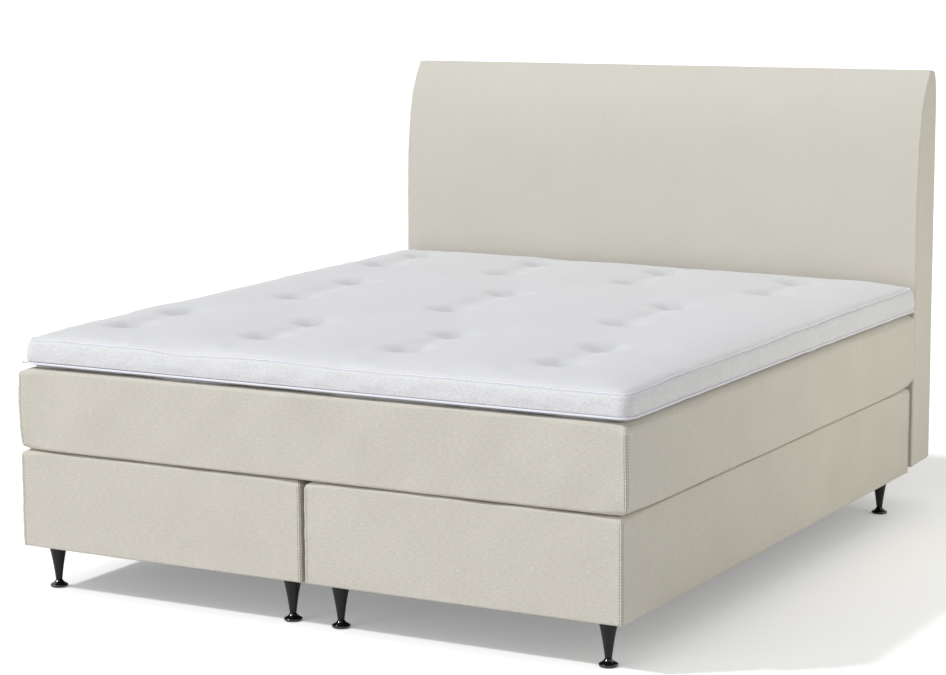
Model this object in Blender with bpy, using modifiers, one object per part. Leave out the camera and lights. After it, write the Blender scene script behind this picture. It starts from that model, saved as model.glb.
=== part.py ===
"""Box spring bed, 180 by 200 cm.

Two sprung boxes stand side by side on cone legs with screw-in glides, tied by two clips.
A pocket-sprung mattress lies on them, and a tufted topper with a zipped cover on that.
An upholstered headboard hangs on two steel brackets at the head end.
Metres, +Z up, +X to the right seen from the foot end, +Y towards the headboard.
The origin is on the floor, in the middle of the bed.
"""

import math

import bmesh
import bpy
from mathutils import Matrix, Vector

# Bed as a whole
BED_WIDTH = 1.80
BED_LENGTH = 2.00
FIT = 0.0003
OVERRUN = 0.02
MERGE_DISTANCE = 0.00005
EDGE_SHARE = 0.0001
SHARP_ANGLE = math.radians(50)
SMOOTH_ANGLE = math.radians(40)
UPRIGHT_ANGLE = math.radians(30)

# Legs and glides
LEG_HEIGHT = 0.098
LEG_TOP_RADIUS = 0.0255
LEG_NECK_RADIUS = 0.0088
LEG_WAIST = 0.0016
LEG_EDGE = 0.002
LEG_SIDE_INSET = 0.067
LEG_END_INSET = 0.063
STUD_RADIUS = 0.004
STUD_LENGTH = 0.030
STUD_CLEARANCE = 0.0004
GLIDE_HEIGHT = 0.020
GLIDE_RADIUS = 0.0243
GLIDE_RIM = 0.004
GLIDE_RIM_HEIGHT = 0.007
GLIDE_BASE_INSET = 0.005
GLIDE_TRAVEL = 0.010
GLIDE_GRIP = 0.022
GLIDE_SHOULDER_SHARE = 0.4
GLIDE_UNDER_SHARE = 0.333
TURNED_STEPS = 20

# Boxes
BOX_GAP = 0.012
BOX_HEIGHT = 0.268
BOX_COVER = 0.006
BOX_HEM = 0.002
BOX_HEM_WIDTH = 0.020
BOX_CORNER_RADIUS = 0.010
BOX_TOP_RADIUS = 0.010
BOX_BOTTOM_RADIUS = 0.0015
BOX_SWELL = 0.002
RAIL_HEIGHT = 0.095
RAIL_THICKNESS = 0.022
FLANGE_WIDTH = 0.100
FLANGE_THICKNESS = 0.024
RAIL_EDGE = 0.002
DECK_THICKNESS = 0.018
DECK_BATTEN = 0.060
SLAT_WIDTH = 0.090
SLATS = 9
BOX_SPRING_HEIGHT = 0.110
BOX_SPRING_INSET = 0.018
BOX_COIL_PITCH = 0.092
COIL_BULGE_SHARE = 0.2
COIL_OUTLINE_SHARES = ((0.0, 1.0), (0.25, 0.25), (0.75, 0.25))

# Clips that tie the boxes together
CLIP_THICKNESS = 0.002
CLIP_WIDTH = 0.050
CLIP_UPSTAND = 0.045
CLIP_END_INSET = 0.40

# Mattress
MATTRESS_HEIGHT = 0.2225
MATTRESS_OVERHANG = 0.006
MATTRESS_SHIFT = 0.010
MATTRESS_SWELL = 0.005
MATTRESS_DRAW = 0.003
MATTRESS_COVER = 0.012
MATTRESS_CORNER_RADIUS = 0.022
MATTRESS_TOP_RADIUS = 0.018
MATTRESS_BOTTOM_RADIUS = 0.014
MATTRESS_HEM = 0.002
MATTRESS_HEM_WIDTH = 0.045
MATTRESS_BASE_FOAM = 0.022
MATTRESS_SPRING_HEIGHT = 0.130
MATTRESS_SPRING_INSET = 0.030
MATTRESS_COIL_PITCH = 0.088

# Topper
TOPPER_SIDE_INSET = 0.005
TOPPER_FOOT_INSET = 0.010
TOPPER_HEAD_INSET = 0.004
TOPPER_BORDER = 0.070
TOPPER_CROWN = 0.012
TOPPER_PUFF = 0.013
TOPPER_HEAD_RISE = 0.014
TOPPER_DRAW = 0.004
TOPPER_COVER = 0.006
TOPPER_CORNER_RADIUS = 0.028
TOPPER_EDGE_RADIUS = 0.008
TOPPER_UNDER_RADIUS = 0.008
TOPPER_HEM = 0.002
TOPPER_HEM_WIDTH = 0.016
TOPPER_CORE = 0.048
TOPPER_FALL_SHARE = 0.35
TOPPER_PUFF_SHARE = 0.17
TUFT_DEPTH = 0.016
TUFT_SPREAD = 0.045
TUFT_ROW_SHARES = (-0.78, -0.53, -0.158, 0.179, 0.55, 0.80)
TUFT_WIDE_SHARES = (-0.755, -0.253, 0.253, 0.755)
TUFT_NARROW_SHARES = (-0.605, 0.0, 0.605)

# Zip along the topper's foot border
ZIP_HEIGHT = 0.011
ZIP_GROOVE = 0.010
ZIP_DEPTH = 0.006
ZIP_TAPE = 0.0016
ZIP_END_INSET = 0.020
ZIP_SLIDER_LENGTH = 0.011
ZIP_SLIDER_HEIGHT = 0.009
ZIP_SLIDER_DEPTH = 0.004
ZIP_PULL_LENGTH = 0.030
ZIP_PULL_HEIGHT = 0.006
ZIP_PULL_DEPTH = 0.0014
ZIP_EDGE = 0.0006
ZIP_PARK = 0.0012

# Headboard
HEADBOARD_WIDTH = 1.786
HEADBOARD_SHIFT = 0.006
HEADBOARD_HEIGHT = 1.204
HEADBOARD_FLOOR_GAP = 0.131
HEADBOARD_GAP = 0.032
HEADBOARD_DEPTH = 0.165
HEADBOARD_SET_BACK = 0.100
HEADBOARD_FRONT_FADE = 0.120
HEADBOARD_SET_IN = 0.026
HEADBOARD_BACK_FADE = 0.024
HEADBOARD_EDGE_RADIUS = 0.011
HEADBOARD_CROWN = 0.005
HEADBOARD_COVER = 0.004
HEADBOARD_FOAM = 0.040
HEADBOARD_PANEL = 0.009
HEADBOARD_POST = 0.060
HEADBOARD_FRAME_DROP = 0.170
HEADBOARD_BACK_HEM = 0.030
HEADBOARD_BACK_DROP = 0.120
HEADBOARD_BACK_CLOTH = 0.002
HEADBOARD_FRAME_SIDE = 0.008
HEADBOARD_CROWN_SHARE = 0.33
HEADBOARD_STATION_SHARES = (0, 0.35, 0.62, 0.76, 0.85, 0.91, 0.95, 0.98, 1)

# Brackets that carry the headboard
BRACKET_X = 0.45
BRACKET_WIDTH = 0.060
BRACKET_THICKNESS = 0.004
BRACKET_REACH = 0.100
BRACKET_UPSTAND = 0.140
BOLT_RADIUS = 0.004
BOLT_CLEARANCE = 0.0005
BOLT_HEAD_RADIUS = 0.0075
BOLT_HEAD_HEIGHT = 0.0055
BOLT_BOX_INSET = 0.055
BOLT_BOX_LENGTH = 0.034
BOLT_RISE = 0.055
BOLT_HEADBOARD_LENGTH = 0.110

# Heights and places that follow
GLIDE_STUD_LENGTH = GLIDE_GRIP + GLIDE_TRAVEL
BOX_BOTTOM = GLIDE_HEIGHT + LEG_HEIGHT
BOX_TOP = BOX_BOTTOM + BOX_HEIGHT
MATTRESS_BOTTOM = BOX_TOP + FIT
MATTRESS_TOP = MATTRESS_BOTTOM + MATTRESS_HEIGHT
TOPPER_BOTTOM = MATTRESS_TOP + FIT
TOPPER_EDGE = TOPPER_BOTTOM + TOPPER_BORDER
BED_DEPTH = MATTRESS_OVERHANG + BED_LENGTH + HEADBOARD_GAP + HEADBOARD_DEPTH
FOOT_Y = MATTRESS_OVERHANG - BED_DEPTH / 2
HEAD_Y = FOOT_Y + BED_LENGTH
BOX_INNER_X = BOX_GAP / 2
BOX_OUTER_X = BED_WIDTH / 2
FLANGE_TOP = BOX_BOTTOM + BOX_HEM + FIT + FLANGE_THICKNESS
HEADBOARD_FRONT = HEAD_Y + HEADBOARD_GAP
HEADBOARD_BACK = HEADBOARD_FRONT + HEADBOARD_DEPTH
HEADBOARD_BOTTOM = HEADBOARD_FLOOR_GAP
HEADBOARD_TOP = HEADBOARD_BOTTOM + HEADBOARD_HEIGHT
BOLT_BOX_Y = HEAD_Y - BOLT_BOX_INSET
BOLT_HEADBOARD_Z = HEADBOARD_BOTTOM + BOLT_RISE


def clear_scene():
    for item in list(bpy.data.objects):
        bpy.data.objects.remove(item, do_unlink=True)


def new_collection(name):
    collection = bpy.data.collections.new(name)
    bpy.context.scene.collection.children.link(collection)
    return collection


def new_material(name, colour, roughness, metallic=0.0):
    material = bpy.data.materials.new(name)
    material.use_nodes = True
    shader = material.node_tree.nodes["Principled BSDF"]
    shader.inputs["Base Color"].default_value = (*colour, 1)
    shader.inputs["Roughness"].default_value = roughness
    shader.inputs["Metallic"].default_value = metallic
    material.diffuse_color = (*colour, 1)
    return material


clear_scene()
BED = new_collection("box_spring_bed")
CUTTERS = new_collection("cutters")
CUTTERS.hide_render = True

LINEN = new_material("beige_linen", (0.62, 0.59, 0.52), 0.9)
TICKING = new_material("white_knit", (0.80, 0.81, 0.82), 0.85)
TAPE = new_material("white_zip_tape", (0.84, 0.84, 0.86), 0.7)
ZIP_METAL = new_material("zip_nickel", (0.70, 0.70, 0.72), 0.35, 1.0)
TIMBER = new_material("pine", (0.70, 0.52, 0.33), 0.7)
PLYWOOD = new_material("plywood", (0.66, 0.50, 0.34), 0.7)
FOAM = new_material("cream_foam", (0.85, 0.79, 0.60), 0.95)
POCKETS = new_material("pocket_cloth", (0.88, 0.88, 0.86), 0.95)
DUST_CLOTH = new_material("black_dust_cloth", (0.03, 0.03, 0.03), 0.95)
LEG_BLACK = new_material("satin_black", (0.018, 0.018, 0.018), 0.45)
GLIDE_BLACK = new_material("gloss_black", (0.012, 0.012, 0.012), 0.15)
STEEL = new_material("zinc_steel", (0.55, 0.56, 0.58), 0.35, 1.0)


def finish(name, item, material, collection=BED):
    """Give an object its name, its material and its collection."""
    item.name = name
    item.data.name = name
    item.data.materials.clear()
    item.data.materials.append(material)
    for old in list(item.users_collection):
        old.objects.unlink(item)
    collection.objects.link(item)
    return item


def object_from(name, bm, material, collection=BED, smooth_angle=None):
    """Turn a finished bmesh into an object."""
    bmesh.ops.recalc_face_normals(bm, faces=bm.faces[:])
    mesh = bpy.data.meshes.new(name)
    bm.to_mesh(mesh)
    bm.free()
    if smooth_angle is not None:
        mesh.shade_smooth()
        mesh.set_sharp_from_angle(angle=smooth_angle)
    return finish(name, bpy.data.objects.new(name, mesh), material, collection)


def divided_cube(low, high, divisions):
    """A cube from low to high, cut into a grid; each vertex keeps its shares of the three sides."""
    bm = bmesh.new()
    bmesh.ops.create_cube(bm, size=1)
    bmesh.ops.translate(bm, verts=bm.verts[:], vec=Vector((1, 1, 1)) / 2)
    for axis, count in enumerate(divisions):
        normal = Vector((0, 0, 0))
        normal[axis] = 1
        for step in range(1, count):
            geometry = bm.verts[:] + bm.edges[:] + bm.faces[:]
            bmesh.ops.bisect_plane(bm, geom=geometry, plane_co=normal * step / count, plane_no=normal)
    shares = [vertex.co.copy() for vertex in bm.verts]
    size = Vector(high) - Vector(low)
    for vertex in bm.verts:
        vertex.co = Vector(low) + Vector(vertex.co[i] * size[i] for i in range(3))
    return bm, shares


def round_edges(bm, chosen, radius, segments):
    """Round the sharp edges that chosen picks by their middle and direction."""
    if radius <= 0:
        return
    bm.normal_update()
    edges = []
    for edge in bm.edges:
        if len(edge.link_faces) != 2 or edge.calc_face_angle() < SHARP_ANGLE:
            continue
        middle = (edge.verts[0].co + edge.verts[1].co) / 2
        direction = (edge.verts[1].co - edge.verts[0].co).normalized()
        if chosen(middle, direction):
            edges.append(edge)
    bmesh.ops.bevel(
        bm, geom=edges, offset=radius, offset_type="OFFSET", segments=segments, profile=0.5,
        affect="EDGES", clamp_overlap=True,
    )


def upright(middle, direction):
    return abs(direction.z) > math.cos(UPRIGHT_ANGLE)


def block(name, low, high, material, edge=0.0, radii=(0, 0, 0), collection=BED):
    """A straight-sided block; radii are those of its upright corners, its top and its bottom."""
    bm, _ = divided_cube(low, high, (1, 1, 1))
    round_block(bm, (low[2] + high[2]) / 2, radii)
    item = object_from(name, bm, material, collection)
    if edge > 0:
        bevel = item.modifiers.new("eased_edges", "BEVEL")
        bevel.width = edge
        bevel.segments = 1
        bevel.limit_method = "ANGLE"
        bevel.angle_limit = SHARP_ANGLE
    return item


def round_block(bm, middle_z, radii):
    round_edges(bm, upright, radii[0], 3)
    round_edges(bm, lambda at, way: not upright(at, way) and at.z > middle_z, radii[1], 2)
    round_edges(bm, lambda at, way: not upright(at, way) and at.z < middle_z, radii[2], 2)


def soft_block(name, low, high, divisions, material, radii, shape, tufts=()):
    """A soft block: shape moves each grid point by its shares, then the edges are rounded.

    radii are those of the upright corners, the top edge and the bottom edge.
    """
    bm, shares = divided_cube(low, high, divisions)
    for vertex, share in zip(bm.verts[:], shares):
        vertex.co += shape(share)
    sink_tufts(bm, shares, tufts)
    round_block(bm, (low[2] + high[2]) / 2, radii)
    return object_from(name, bm, material, smooth_angle=SMOOTH_ANGLE)


def sink_tufts(bm, shares, tufts):
    """Draw the nearest top point to each tuft and sink the top around it."""
    top = [vertex for vertex, share in zip(bm.verts[:], shares) if share.z > 1 - EDGE_SHARE]
    for x, y in tufts:
        nearest = min(top, key=lambda vertex: math.hypot(vertex.co.x - x, vertex.co.y - y))
        nearest.co.x = x
        nearest.co.y = y
    for vertex in top:
        for x, y in tufts:
            away = math.hypot(vertex.co.x - x, vertex.co.y - y)
            vertex.co.z -= TUFT_DEPTH * math.exp(-((away / TUFT_SPREAD) ** 2))


def combine(target, helper, name, operation="DIFFERENCE"):
    """Cut the helper's shape out of the target, or join it on."""
    helper.hide_render = True
    helper.display_type = "WIRE"
    boolean = target.modifiers.new(name, "BOOLEAN")
    boolean.operation = operation
    boolean.solver = "EXACT"
    boolean.object = helper


def cut_block(target, name, low, high, radii=(0, 0, 0)):
    cutter = block(target.name + "_" + name, low, high, STEEL, radii=radii, collection=CUTTERS)
    combine(target, cutter, name)


def bore(target, name, start, end, radius):
    """Cut a round hole from start to end."""
    start = Vector(start)
    end = Vector(end)
    length = (end - start).length
    bm = bmesh.new()
    bmesh.ops.create_cone(
        bm, cap_ends=True, segments=TURNED_STEPS, radius1=radius, radius2=radius, depth=length
    )
    turn = (end - start).to_track_quat("Z", "Y").to_matrix().to_4x4()
    bmesh.ops.transform(bm, matrix=Matrix.Translation((start + end) / 2) @ turn, verts=bm.verts[:])
    cutter = object_from(target.name + "_" + name, bm, STEEL, CUTTERS)
    combine(target, cutter, name)


def turned_mesh(name, profile, material):
    """A turned piece: its profile, in radius and height, spun round by a Screw modifier."""
    mesh = bpy.data.meshes.new(name)
    points = [(radius, 0, height) for radius, height in profile]
    mesh.from_pydata(points, [(i, i + 1) for i in range(len(points) - 1)], [])
    mesh.materials.append(material)
    return mesh


def turned(name, mesh, place):
    item = bpy.data.objects.new(name, mesh)
    item.location = place
    BED.objects.link(item)
    screw = item.modifiers.new("turning", "SCREW")
    screw.steps = TURNED_STEPS
    screw.render_steps = TURNED_STEPS
    screw.use_merge_vertices = True
    screw.merge_threshold = MERGE_DISTANCE
    screw.use_smooth_shade = True
    return item


def plate_curve(name, loops, thickness, material):
    """A flat plate with the given outlines, holes included, lying in the XY plane about z = 0."""
    curve = bpy.data.curves.new(name, "CURVE")
    curve.dimensions = "2D"
    curve.fill_mode = "BOTH"
    curve.extrude = thickness / 2
    for loop in loops:
        spline = curve.splines.new("POLY")
        spline.points.add(len(loop) - 1)
        spline.use_cyclic_u = True
        for point, (x, y) in zip(spline.points, loop):
            point.co = (x, y, 0, 1)
    curve.materials.append(material)
    item = bpy.data.objects.new(name, curve)
    BED.objects.link(item)
    return item


def as_mesh(item):
    """Replace a curve by the mesh it makes, with its caps joined to its sides."""
    bpy.context.view_layer.update()
    graph = bpy.context.evaluated_depsgraph_get()
    mesh = bpy.data.meshes.new_from_object(item.evaluated_get(graph))
    bm = bmesh.new()
    bm.from_mesh(mesh)
    bmesh.ops.remove_doubles(bm, verts=bm.verts[:], dist=MERGE_DISTANCE)
    bmesh.ops.recalc_face_normals(bm, faces=bm.faces[:])
    bm.to_mesh(mesh)
    bm.free()
    name = item.name
    made = bpy.data.objects.new(name + "_mesh", mesh)
    made.matrix_world = item.matrix_world.copy()
    BED.objects.link(made)
    bpy.data.objects.remove(item, do_unlink=True)
    made.name = name
    return made


def rectangle(low_x, low_y, high_x, high_y):
    return [(low_x, low_y), (high_x, low_y), (high_x, high_y), (low_x, high_y)]


def side_span(side, near, far):
    """The low and high x of a stretch that runs from near to far on one side of the middle."""
    return tuple(sorted((side * near, side * far)))


def scalloped(low_x, low_y, high_x, high_y, pitch):
    """The outline of a block of round springs: one half-round bulge for each spring at the edge."""
    corners = rectangle(low_x, low_y, high_x, high_y)
    points = []
    for (x0, y0), (x1, y1) in zip(corners, corners[1:] + corners[:1]):
        length = math.hypot(x1 - x0, y1 - y0)
        count = max(1, round(length / pitch))
        along = ((x1 - x0) / length, (y1 - y0) / length)
        step = length / count
        for i in range(count):
            for share, depth_share in COIL_OUTLINE_SHARES:
                away = (i + share) * step
                depth = step * depth_share * COIL_BULGE_SHARE
                x = x0 + along[0] * away - along[1] * depth
                points.append((x, y0 + along[1] * away + along[0] * depth))
    return points


def spring_block(name, low_x, high_x, low_y, high_y, bottom, height, pitch):
    """A pack of pocket springs, as one block with the springs' round outline."""
    item = plate_curve(name, [scalloped(low_x, low_y, high_x, high_y, pitch)], height, POCKETS)
    item.location.z = bottom + height / 2
    return item


def leg_places():
    """Name, x and y of each leg: four at the foot end and four at the head end."""
    ends = {"foot": FOOT_Y + LEG_END_INSET, "head": HEAD_Y - LEG_END_INSET}
    columns = {
        "left_outer": LEG_SIDE_INSET - BOX_OUTER_X,
        "left_inner": -LEG_SIDE_INSET - BOX_INNER_X,
        "right_inner": BOX_INNER_X + LEG_SIDE_INSET,
        "right_outer": BOX_OUTER_X - LEG_SIDE_INSET,
    }
    return [(end + "_" + column, x, y) for end, y in ends.items() for column, x in columns.items()]


def make_legs():
    """Turned cone legs: the stud goes up into the box, and the glide's stud into a bore below."""
    top = LEG_HEIGHT - FIT
    bottom = FIT
    bore_radius = STUD_RADIUS + STUD_CLEARANCE
    bore_top = GLIDE_STUD_LENGTH + 2 * FIT
    profile = [(0, top + STUD_LENGTH), (STUD_RADIUS, top + STUD_LENGTH), (STUD_RADIUS, top)]
    profile += [(LEG_TOP_RADIUS - LEG_EDGE, top), (LEG_TOP_RADIUS, top - LEG_EDGE)]
    steps = 4
    for i in range(1, steps + 1):
        share = i / steps
        straight = LEG_TOP_RADIUS + (LEG_NECK_RADIUS - LEG_TOP_RADIUS) * share
        waist = LEG_WAIST * swell(share)
        profile.append((straight - waist, top - LEG_EDGE + (bottom - top + LEG_EDGE) * share))
    profile += [(bore_radius, bottom), (bore_radius, bore_top), (0, bore_top)]
    mesh = turned_mesh("cone_leg", profile, LEG_BLACK)
    for name, x, y in leg_places():
        turned("leg_" + name, mesh, (x, y, GLIDE_HEIGHT))


def make_glides():
    """Round glides with a low cone, a rim and a smaller flat base, screwed into the legs."""
    rim_low = GLIDE_RIM_HEIGHT - GLIDE_RIM
    shoulder = GLIDE_RIM_HEIGHT + (GLIDE_HEIGHT - GLIDE_RIM_HEIGHT) * GLIDE_SHOULDER_SHARE
    profile = [
        (0, GLIDE_HEIGHT + GLIDE_STUD_LENGTH),
        (STUD_RADIUS, GLIDE_HEIGHT + GLIDE_STUD_LENGTH),
        (STUD_RADIUS, GLIDE_HEIGHT),
        (LEG_NECK_RADIUS, GLIDE_HEIGHT),
        ((LEG_NECK_RADIUS + GLIDE_RADIUS) / 2, shoulder),
        (GLIDE_RADIUS, GLIDE_RIM_HEIGHT),
        (GLIDE_RADIUS, rim_low),
        (GLIDE_RADIUS - GLIDE_BASE_INSET * GLIDE_UNDER_SHARE, rim_low * GLIDE_UNDER_SHARE),
        (GLIDE_RADIUS - GLIDE_BASE_INSET, 0),
        (0, 0),
    ]
    mesh = turned_mesh("screw_glide", profile, GLIDE_BLACK)
    for name, x, y in leg_places():
        turned("glide_" + name, mesh, (x, y, 0))


def swell(share):
    """0 at both ends of a side and 1 in its middle."""
    return 4 * share * (1 - share)


def along_side(share):
    """0 at the corners and 1 in the middle of the side that a grid point lies on."""
    on_x_side = share.x < EDGE_SHARE or share.x > 1 - EDGE_SHARE
    return swell(share.y if on_x_side else share.x)


def outward(share, length):
    """The unit step out of the side that a grid point lies on, times length."""
    step = Vector((0, 0, 0))
    for axis in (0, 1):
        if share[axis] < EDGE_SHARE:
            step[axis] = -length
        elif share[axis] > 1 - EDGE_SHARE:
            step[axis] = length
    return step


def box_shape(share):
    """The box's padded sides stand out a little between its top and bottom edges."""
    return outward(share, BOX_SWELL * swell(share.z) - BOX_SWELL)


def make_box(side, label):
    """One sprung box: timber frame, slatted deck, springs, foam pad, linen cover and dust cloth."""
    low_x, high_x = side_span(side, BOX_INNER_X, BOX_OUTER_X)
    in_low_x = low_x + BOX_COVER + FIT
    in_high_x = high_x - BOX_COVER - FIT
    in_foot = FOOT_Y + BOX_COVER + FIT
    in_head = HEAD_Y - BOX_COVER - FIT
    inner_corner = max(BOX_CORNER_RADIUS - BOX_COVER, FIT)
    inner_radii = (inner_corner, max(BOX_TOP_RADIUS - BOX_COVER, FIT), 0)
    floor = BOX_BOTTOM + BOX_HEM + FIT
    rail_top = floor + RAIL_HEIGHT
    deck_low = rail_top + FIT
    deck_high = deck_low + DECK_THICKNESS
    spring_low = deck_high + FIT
    spring_high = spring_low + BOX_SPRING_HEIGHT
    ceiling = BOX_TOP - BOX_COVER

    cover = soft_block(
        "box_cover_" + label, (low_x, FOOT_Y, BOX_BOTTOM), (high_x, HEAD_Y, BOX_TOP), (4, 8, 4), LINEN,
        (BOX_CORNER_RADIUS, BOX_TOP_RADIUS, BOX_BOTTOM_RADIUS), box_shape,
    )
    cut_block(
        cover, "room", (in_low_x - FIT, in_foot - FIT, BOX_BOTTOM + BOX_HEM),
        (in_high_x + FIT, in_head + FIT, ceiling), inner_radii,
    )
    hem = BOX_HEM_WIDTH
    cut_block(
        cover, "underside", (low_x + hem, FOOT_Y + hem, BOX_BOTTOM - OVERRUN),
        (high_x - hem, HEAD_Y - hem, BOX_BOTTOM + BOX_HEM + FIT),
    )

    cloth = block(
        "dust_cloth_" + label, (low_x + hem + FIT, FOOT_Y + hem + FIT, BOX_BOTTOM),
        (high_x - hem - FIT, HEAD_Y - hem - FIT, BOX_BOTTOM + BOX_HEM), DUST_CLOTH,
    )

    rails = {"outer": (BOX_OUTER_X - BOX_COVER - FIT), "inner": (BOX_INNER_X + BOX_COVER + FIT)}
    for rail, near in rails.items():
        far = near + RAIL_THICKNESS * (1 if rail == "inner" else -1)
        rail_low, rail_high = side_span(side, near, far)
        block(
            "box_rail_" + label + "_" + rail, (rail_low, in_foot + inner_corner, floor),
            (rail_high, in_head - inner_corner, rail_top), TIMBER, edge=RAIL_EDGE,
        )

    beam_low = in_low_x + RAIL_THICKNESS + FIT
    beam_high = in_high_x - RAIL_THICKNESS - FIT
    for end, wall, way in (("foot", in_foot, 1), ("head", in_head, -1)):
        outline = [
            (0, 0), (FLANGE_WIDTH, 0), (FLANGE_WIDTH, FLANGE_THICKNESS),
            (RAIL_THICKNESS, FLANGE_THICKNESS), (RAIL_THICKNESS, RAIL_HEIGHT), (0, RAIL_HEIGHT),
        ]
        beam = plate_curve("box_end_beam_" + label + "_" + end, [outline], beam_high - beam_low, TIMBER)
        turn = Matrix(((0, 0, 1), (way, 0, 0), (0, 1, 0))).to_4x4()
        beam.matrix_world = Matrix.Translation(((beam_low + beam_high) / 2, wall, floor)) @ turn
        beam = as_mesh(beam)
        for name, x, y in leg_places():
            if name.startswith(end) and low_x < x < high_x:
                bore_for_leg(beam, cloth, name, x, y)
        if end == "head":
            bore_for_bracket(beam, cloth, side)

    make_slat_deck(label, in_low_x, in_high_x, in_foot, in_head, deck_low)
    inset = BOX_SPRING_INSET
    spring_block(
        "box_springs_" + label, in_low_x + inset, in_high_x - inset, in_foot + inset, in_head - inset,
        spring_low, BOX_SPRING_HEIGHT, BOX_COIL_PITCH,
    )
    block(
        "box_foam_" + label, (in_low_x, in_foot, spring_high + FIT), (in_high_x, in_head, ceiling - FIT),
        FOAM, radii=inner_radii,
    )
    return cloth


def bore_for_leg(beam, cloth, name, x, y):
    """The leg's stud passes through the dust cloth into the end beam."""
    radius = STUD_RADIUS + STUD_CLEARANCE
    low = BOX_BOTTOM - OVERRUN
    bore(beam, name + "_stud_hole", (x, y, low), (x, y, FLANGE_TOP + OVERRUN), radius)
    bore(cloth, name + "_stud_slit", (x, y, low), (x, y, BOX_BOTTOM + OVERRUN), radius)


def bore_for_bracket(beam, cloth, side):
    radius = BOLT_RADIUS + BOLT_CLEARANCE
    x = side * BRACKET_X
    low = BOX_BOTTOM - OVERRUN
    bore(beam, "bracket_hole", (x, BOLT_BOX_Y, low), (x, BOLT_BOX_Y, FLANGE_TOP + OVERRUN), radius)
    bore(cloth, "bracket_slit", (x, BOLT_BOX_Y, low), (x, BOLT_BOX_Y, BOX_BOTTOM + OVERRUN), radius)


def make_slat_deck(label, low_x, high_x, foot, head, bottom):
    """Cross slats stapled on two long battens: one ladder with open fields between the slats."""
    corner = max(BOX_CORNER_RADIUS - BOX_COVER, FIT)
    low_x += corner
    high_x -= corner
    foot += corner
    head -= corner
    loops = [rectangle(low_x, foot, high_x, head)]
    pitch = (head - foot - SLAT_WIDTH) / (SLATS - 1)
    for i in range(SLATS - 1):
        start = foot + SLAT_WIDTH + i * pitch
        hole = rectangle(low_x + DECK_BATTEN, start, high_x - DECK_BATTEN, start + pitch - SLAT_WIDTH)
        loops.append(hole)
    deck = plate_curve("slat_deck_" + label, loops, DECK_THICKNESS, PLYWOOD)
    deck.location.z = bottom + DECK_THICKNESS / 2


def make_clips(cloths):
    """Steel U clips pushed up over both inner rails, so that the boxes can't drift apart."""
    inside = BOX_INNER_X + BOX_COVER + FIT + RAIL_THICKNESS + FIT
    outside = inside + CLIP_THICKNESS
    base_top = BOX_BOTTOM - FIT
    base_low = base_top - CLIP_THICKNESS
    top = base_top + CLIP_UPSTAND
    outline = [
        (-outside, base_low), (outside, base_low), (outside, top), (inside, top),
        (inside, base_top), (-inside, base_top), (-inside, top), (-outside, top),
    ]
    for end, y in (("foot", FOOT_Y + CLIP_END_INSET), ("head", HEAD_Y - CLIP_END_INSET)):
        clip = plate_curve("box_clip_" + end, [outline], CLIP_WIDTH, STEEL)
        clip.matrix_world = Matrix.Translation((0, y, 0)) @ Matrix.Rotation(math.radians(90), 4, "X")
        for side, cloth in cloths.items():
            slot_low, slot_high = side_span(side, inside - FIT, outside + FIT)
            cut_block(
                cloth, end + "_clip_slot", (slot_low, y - CLIP_WIDTH / 2 - FIT, BOX_BOTTOM - OVERRUN),
                (slot_high, y + CLIP_WIDTH / 2 + FIT, BOX_BOTTOM + OVERRUN),
            )


def mattress_shape(share):
    """The border stands out at half height and is drawn in between the corners."""
    barrel = MATTRESS_SWELL * (swell(share.z) - 1)
    return outward(share, barrel - MATTRESS_DRAW * along_side(share) * swell(share.z))


def make_mattress():
    """Pocket springs between two foams, in a quilted cover with a cloth underside."""
    half = BED_WIDTH / 2 + MATTRESS_OVERHANG
    foot = FOOT_Y - MATTRESS_OVERHANG
    head = HEAD_Y + MATTRESS_OVERHANG
    wall = MATTRESS_COVER + MATTRESS_DRAW + MATTRESS_SWELL
    corner = max(MATTRESS_CORNER_RADIUS - wall, 0)
    inner_top = min(max(MATTRESS_TOP_RADIUS - MATTRESS_COVER, 0), corner)
    inner_bottom = min(max(MATTRESS_BOTTOM_RADIUS - MATTRESS_COVER, 0), corner)
    low = MATTRESS_BOTTOM + MATTRESS_HEM
    high = MATTRESS_TOP - MATTRESS_COVER
    cover = soft_block(
        "mattress_cover", (-half, foot, MATTRESS_BOTTOM), (half, head, MATTRESS_TOP), (8, 10, 4), LINEN,
        (MATTRESS_CORNER_RADIUS, MATTRESS_TOP_RADIUS, MATTRESS_BOTTOM_RADIUS), mattress_shape,
    )
    cut_block(
        cover, "room", (wall - half, foot + wall, low), (half - wall, head - wall, high),
        (corner, inner_top, inner_bottom),
    )
    hem = MATTRESS_HEM_WIDTH
    cut_block(
        cover, "underside", (hem - half, foot + hem, MATTRESS_BOTTOM - OVERRUN),
        (half - hem, head - hem, low + FIT),
    )
    block(
        "mattress_underside", (hem - half + FIT, foot + hem + FIT, MATTRESS_BOTTOM),
        (half - hem - FIT, head - hem - FIT, low), POCKETS,
    )
    side = half - wall - FIT
    in_foot = foot + wall + FIT
    in_head = head - wall - FIT
    base_low = low + FIT
    spring_low = base_low + MATTRESS_BASE_FOAM + FIT
    spring_high = spring_low + MATTRESS_SPRING_HEIGHT
    inset = MATTRESS_SPRING_INSET
    block(
        "mattress_base_foam", (-side, in_foot, base_low), (side, in_head, spring_low - FIT), FOAM,
        radii=(corner, 0, inner_bottom),
    )
    spring_block(
        "mattress_springs", inset - side, side - inset, in_foot + inset, in_head - inset, spring_low,
        MATTRESS_SPRING_HEIGHT, MATTRESS_COIL_PITCH,
    )
    block(
        "mattress_comfort_foam", (-side, in_foot, spring_high + FIT), (side, in_head, high - FIT), FOAM,
        radii=(corner, inner_top, 0),
    )


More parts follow.
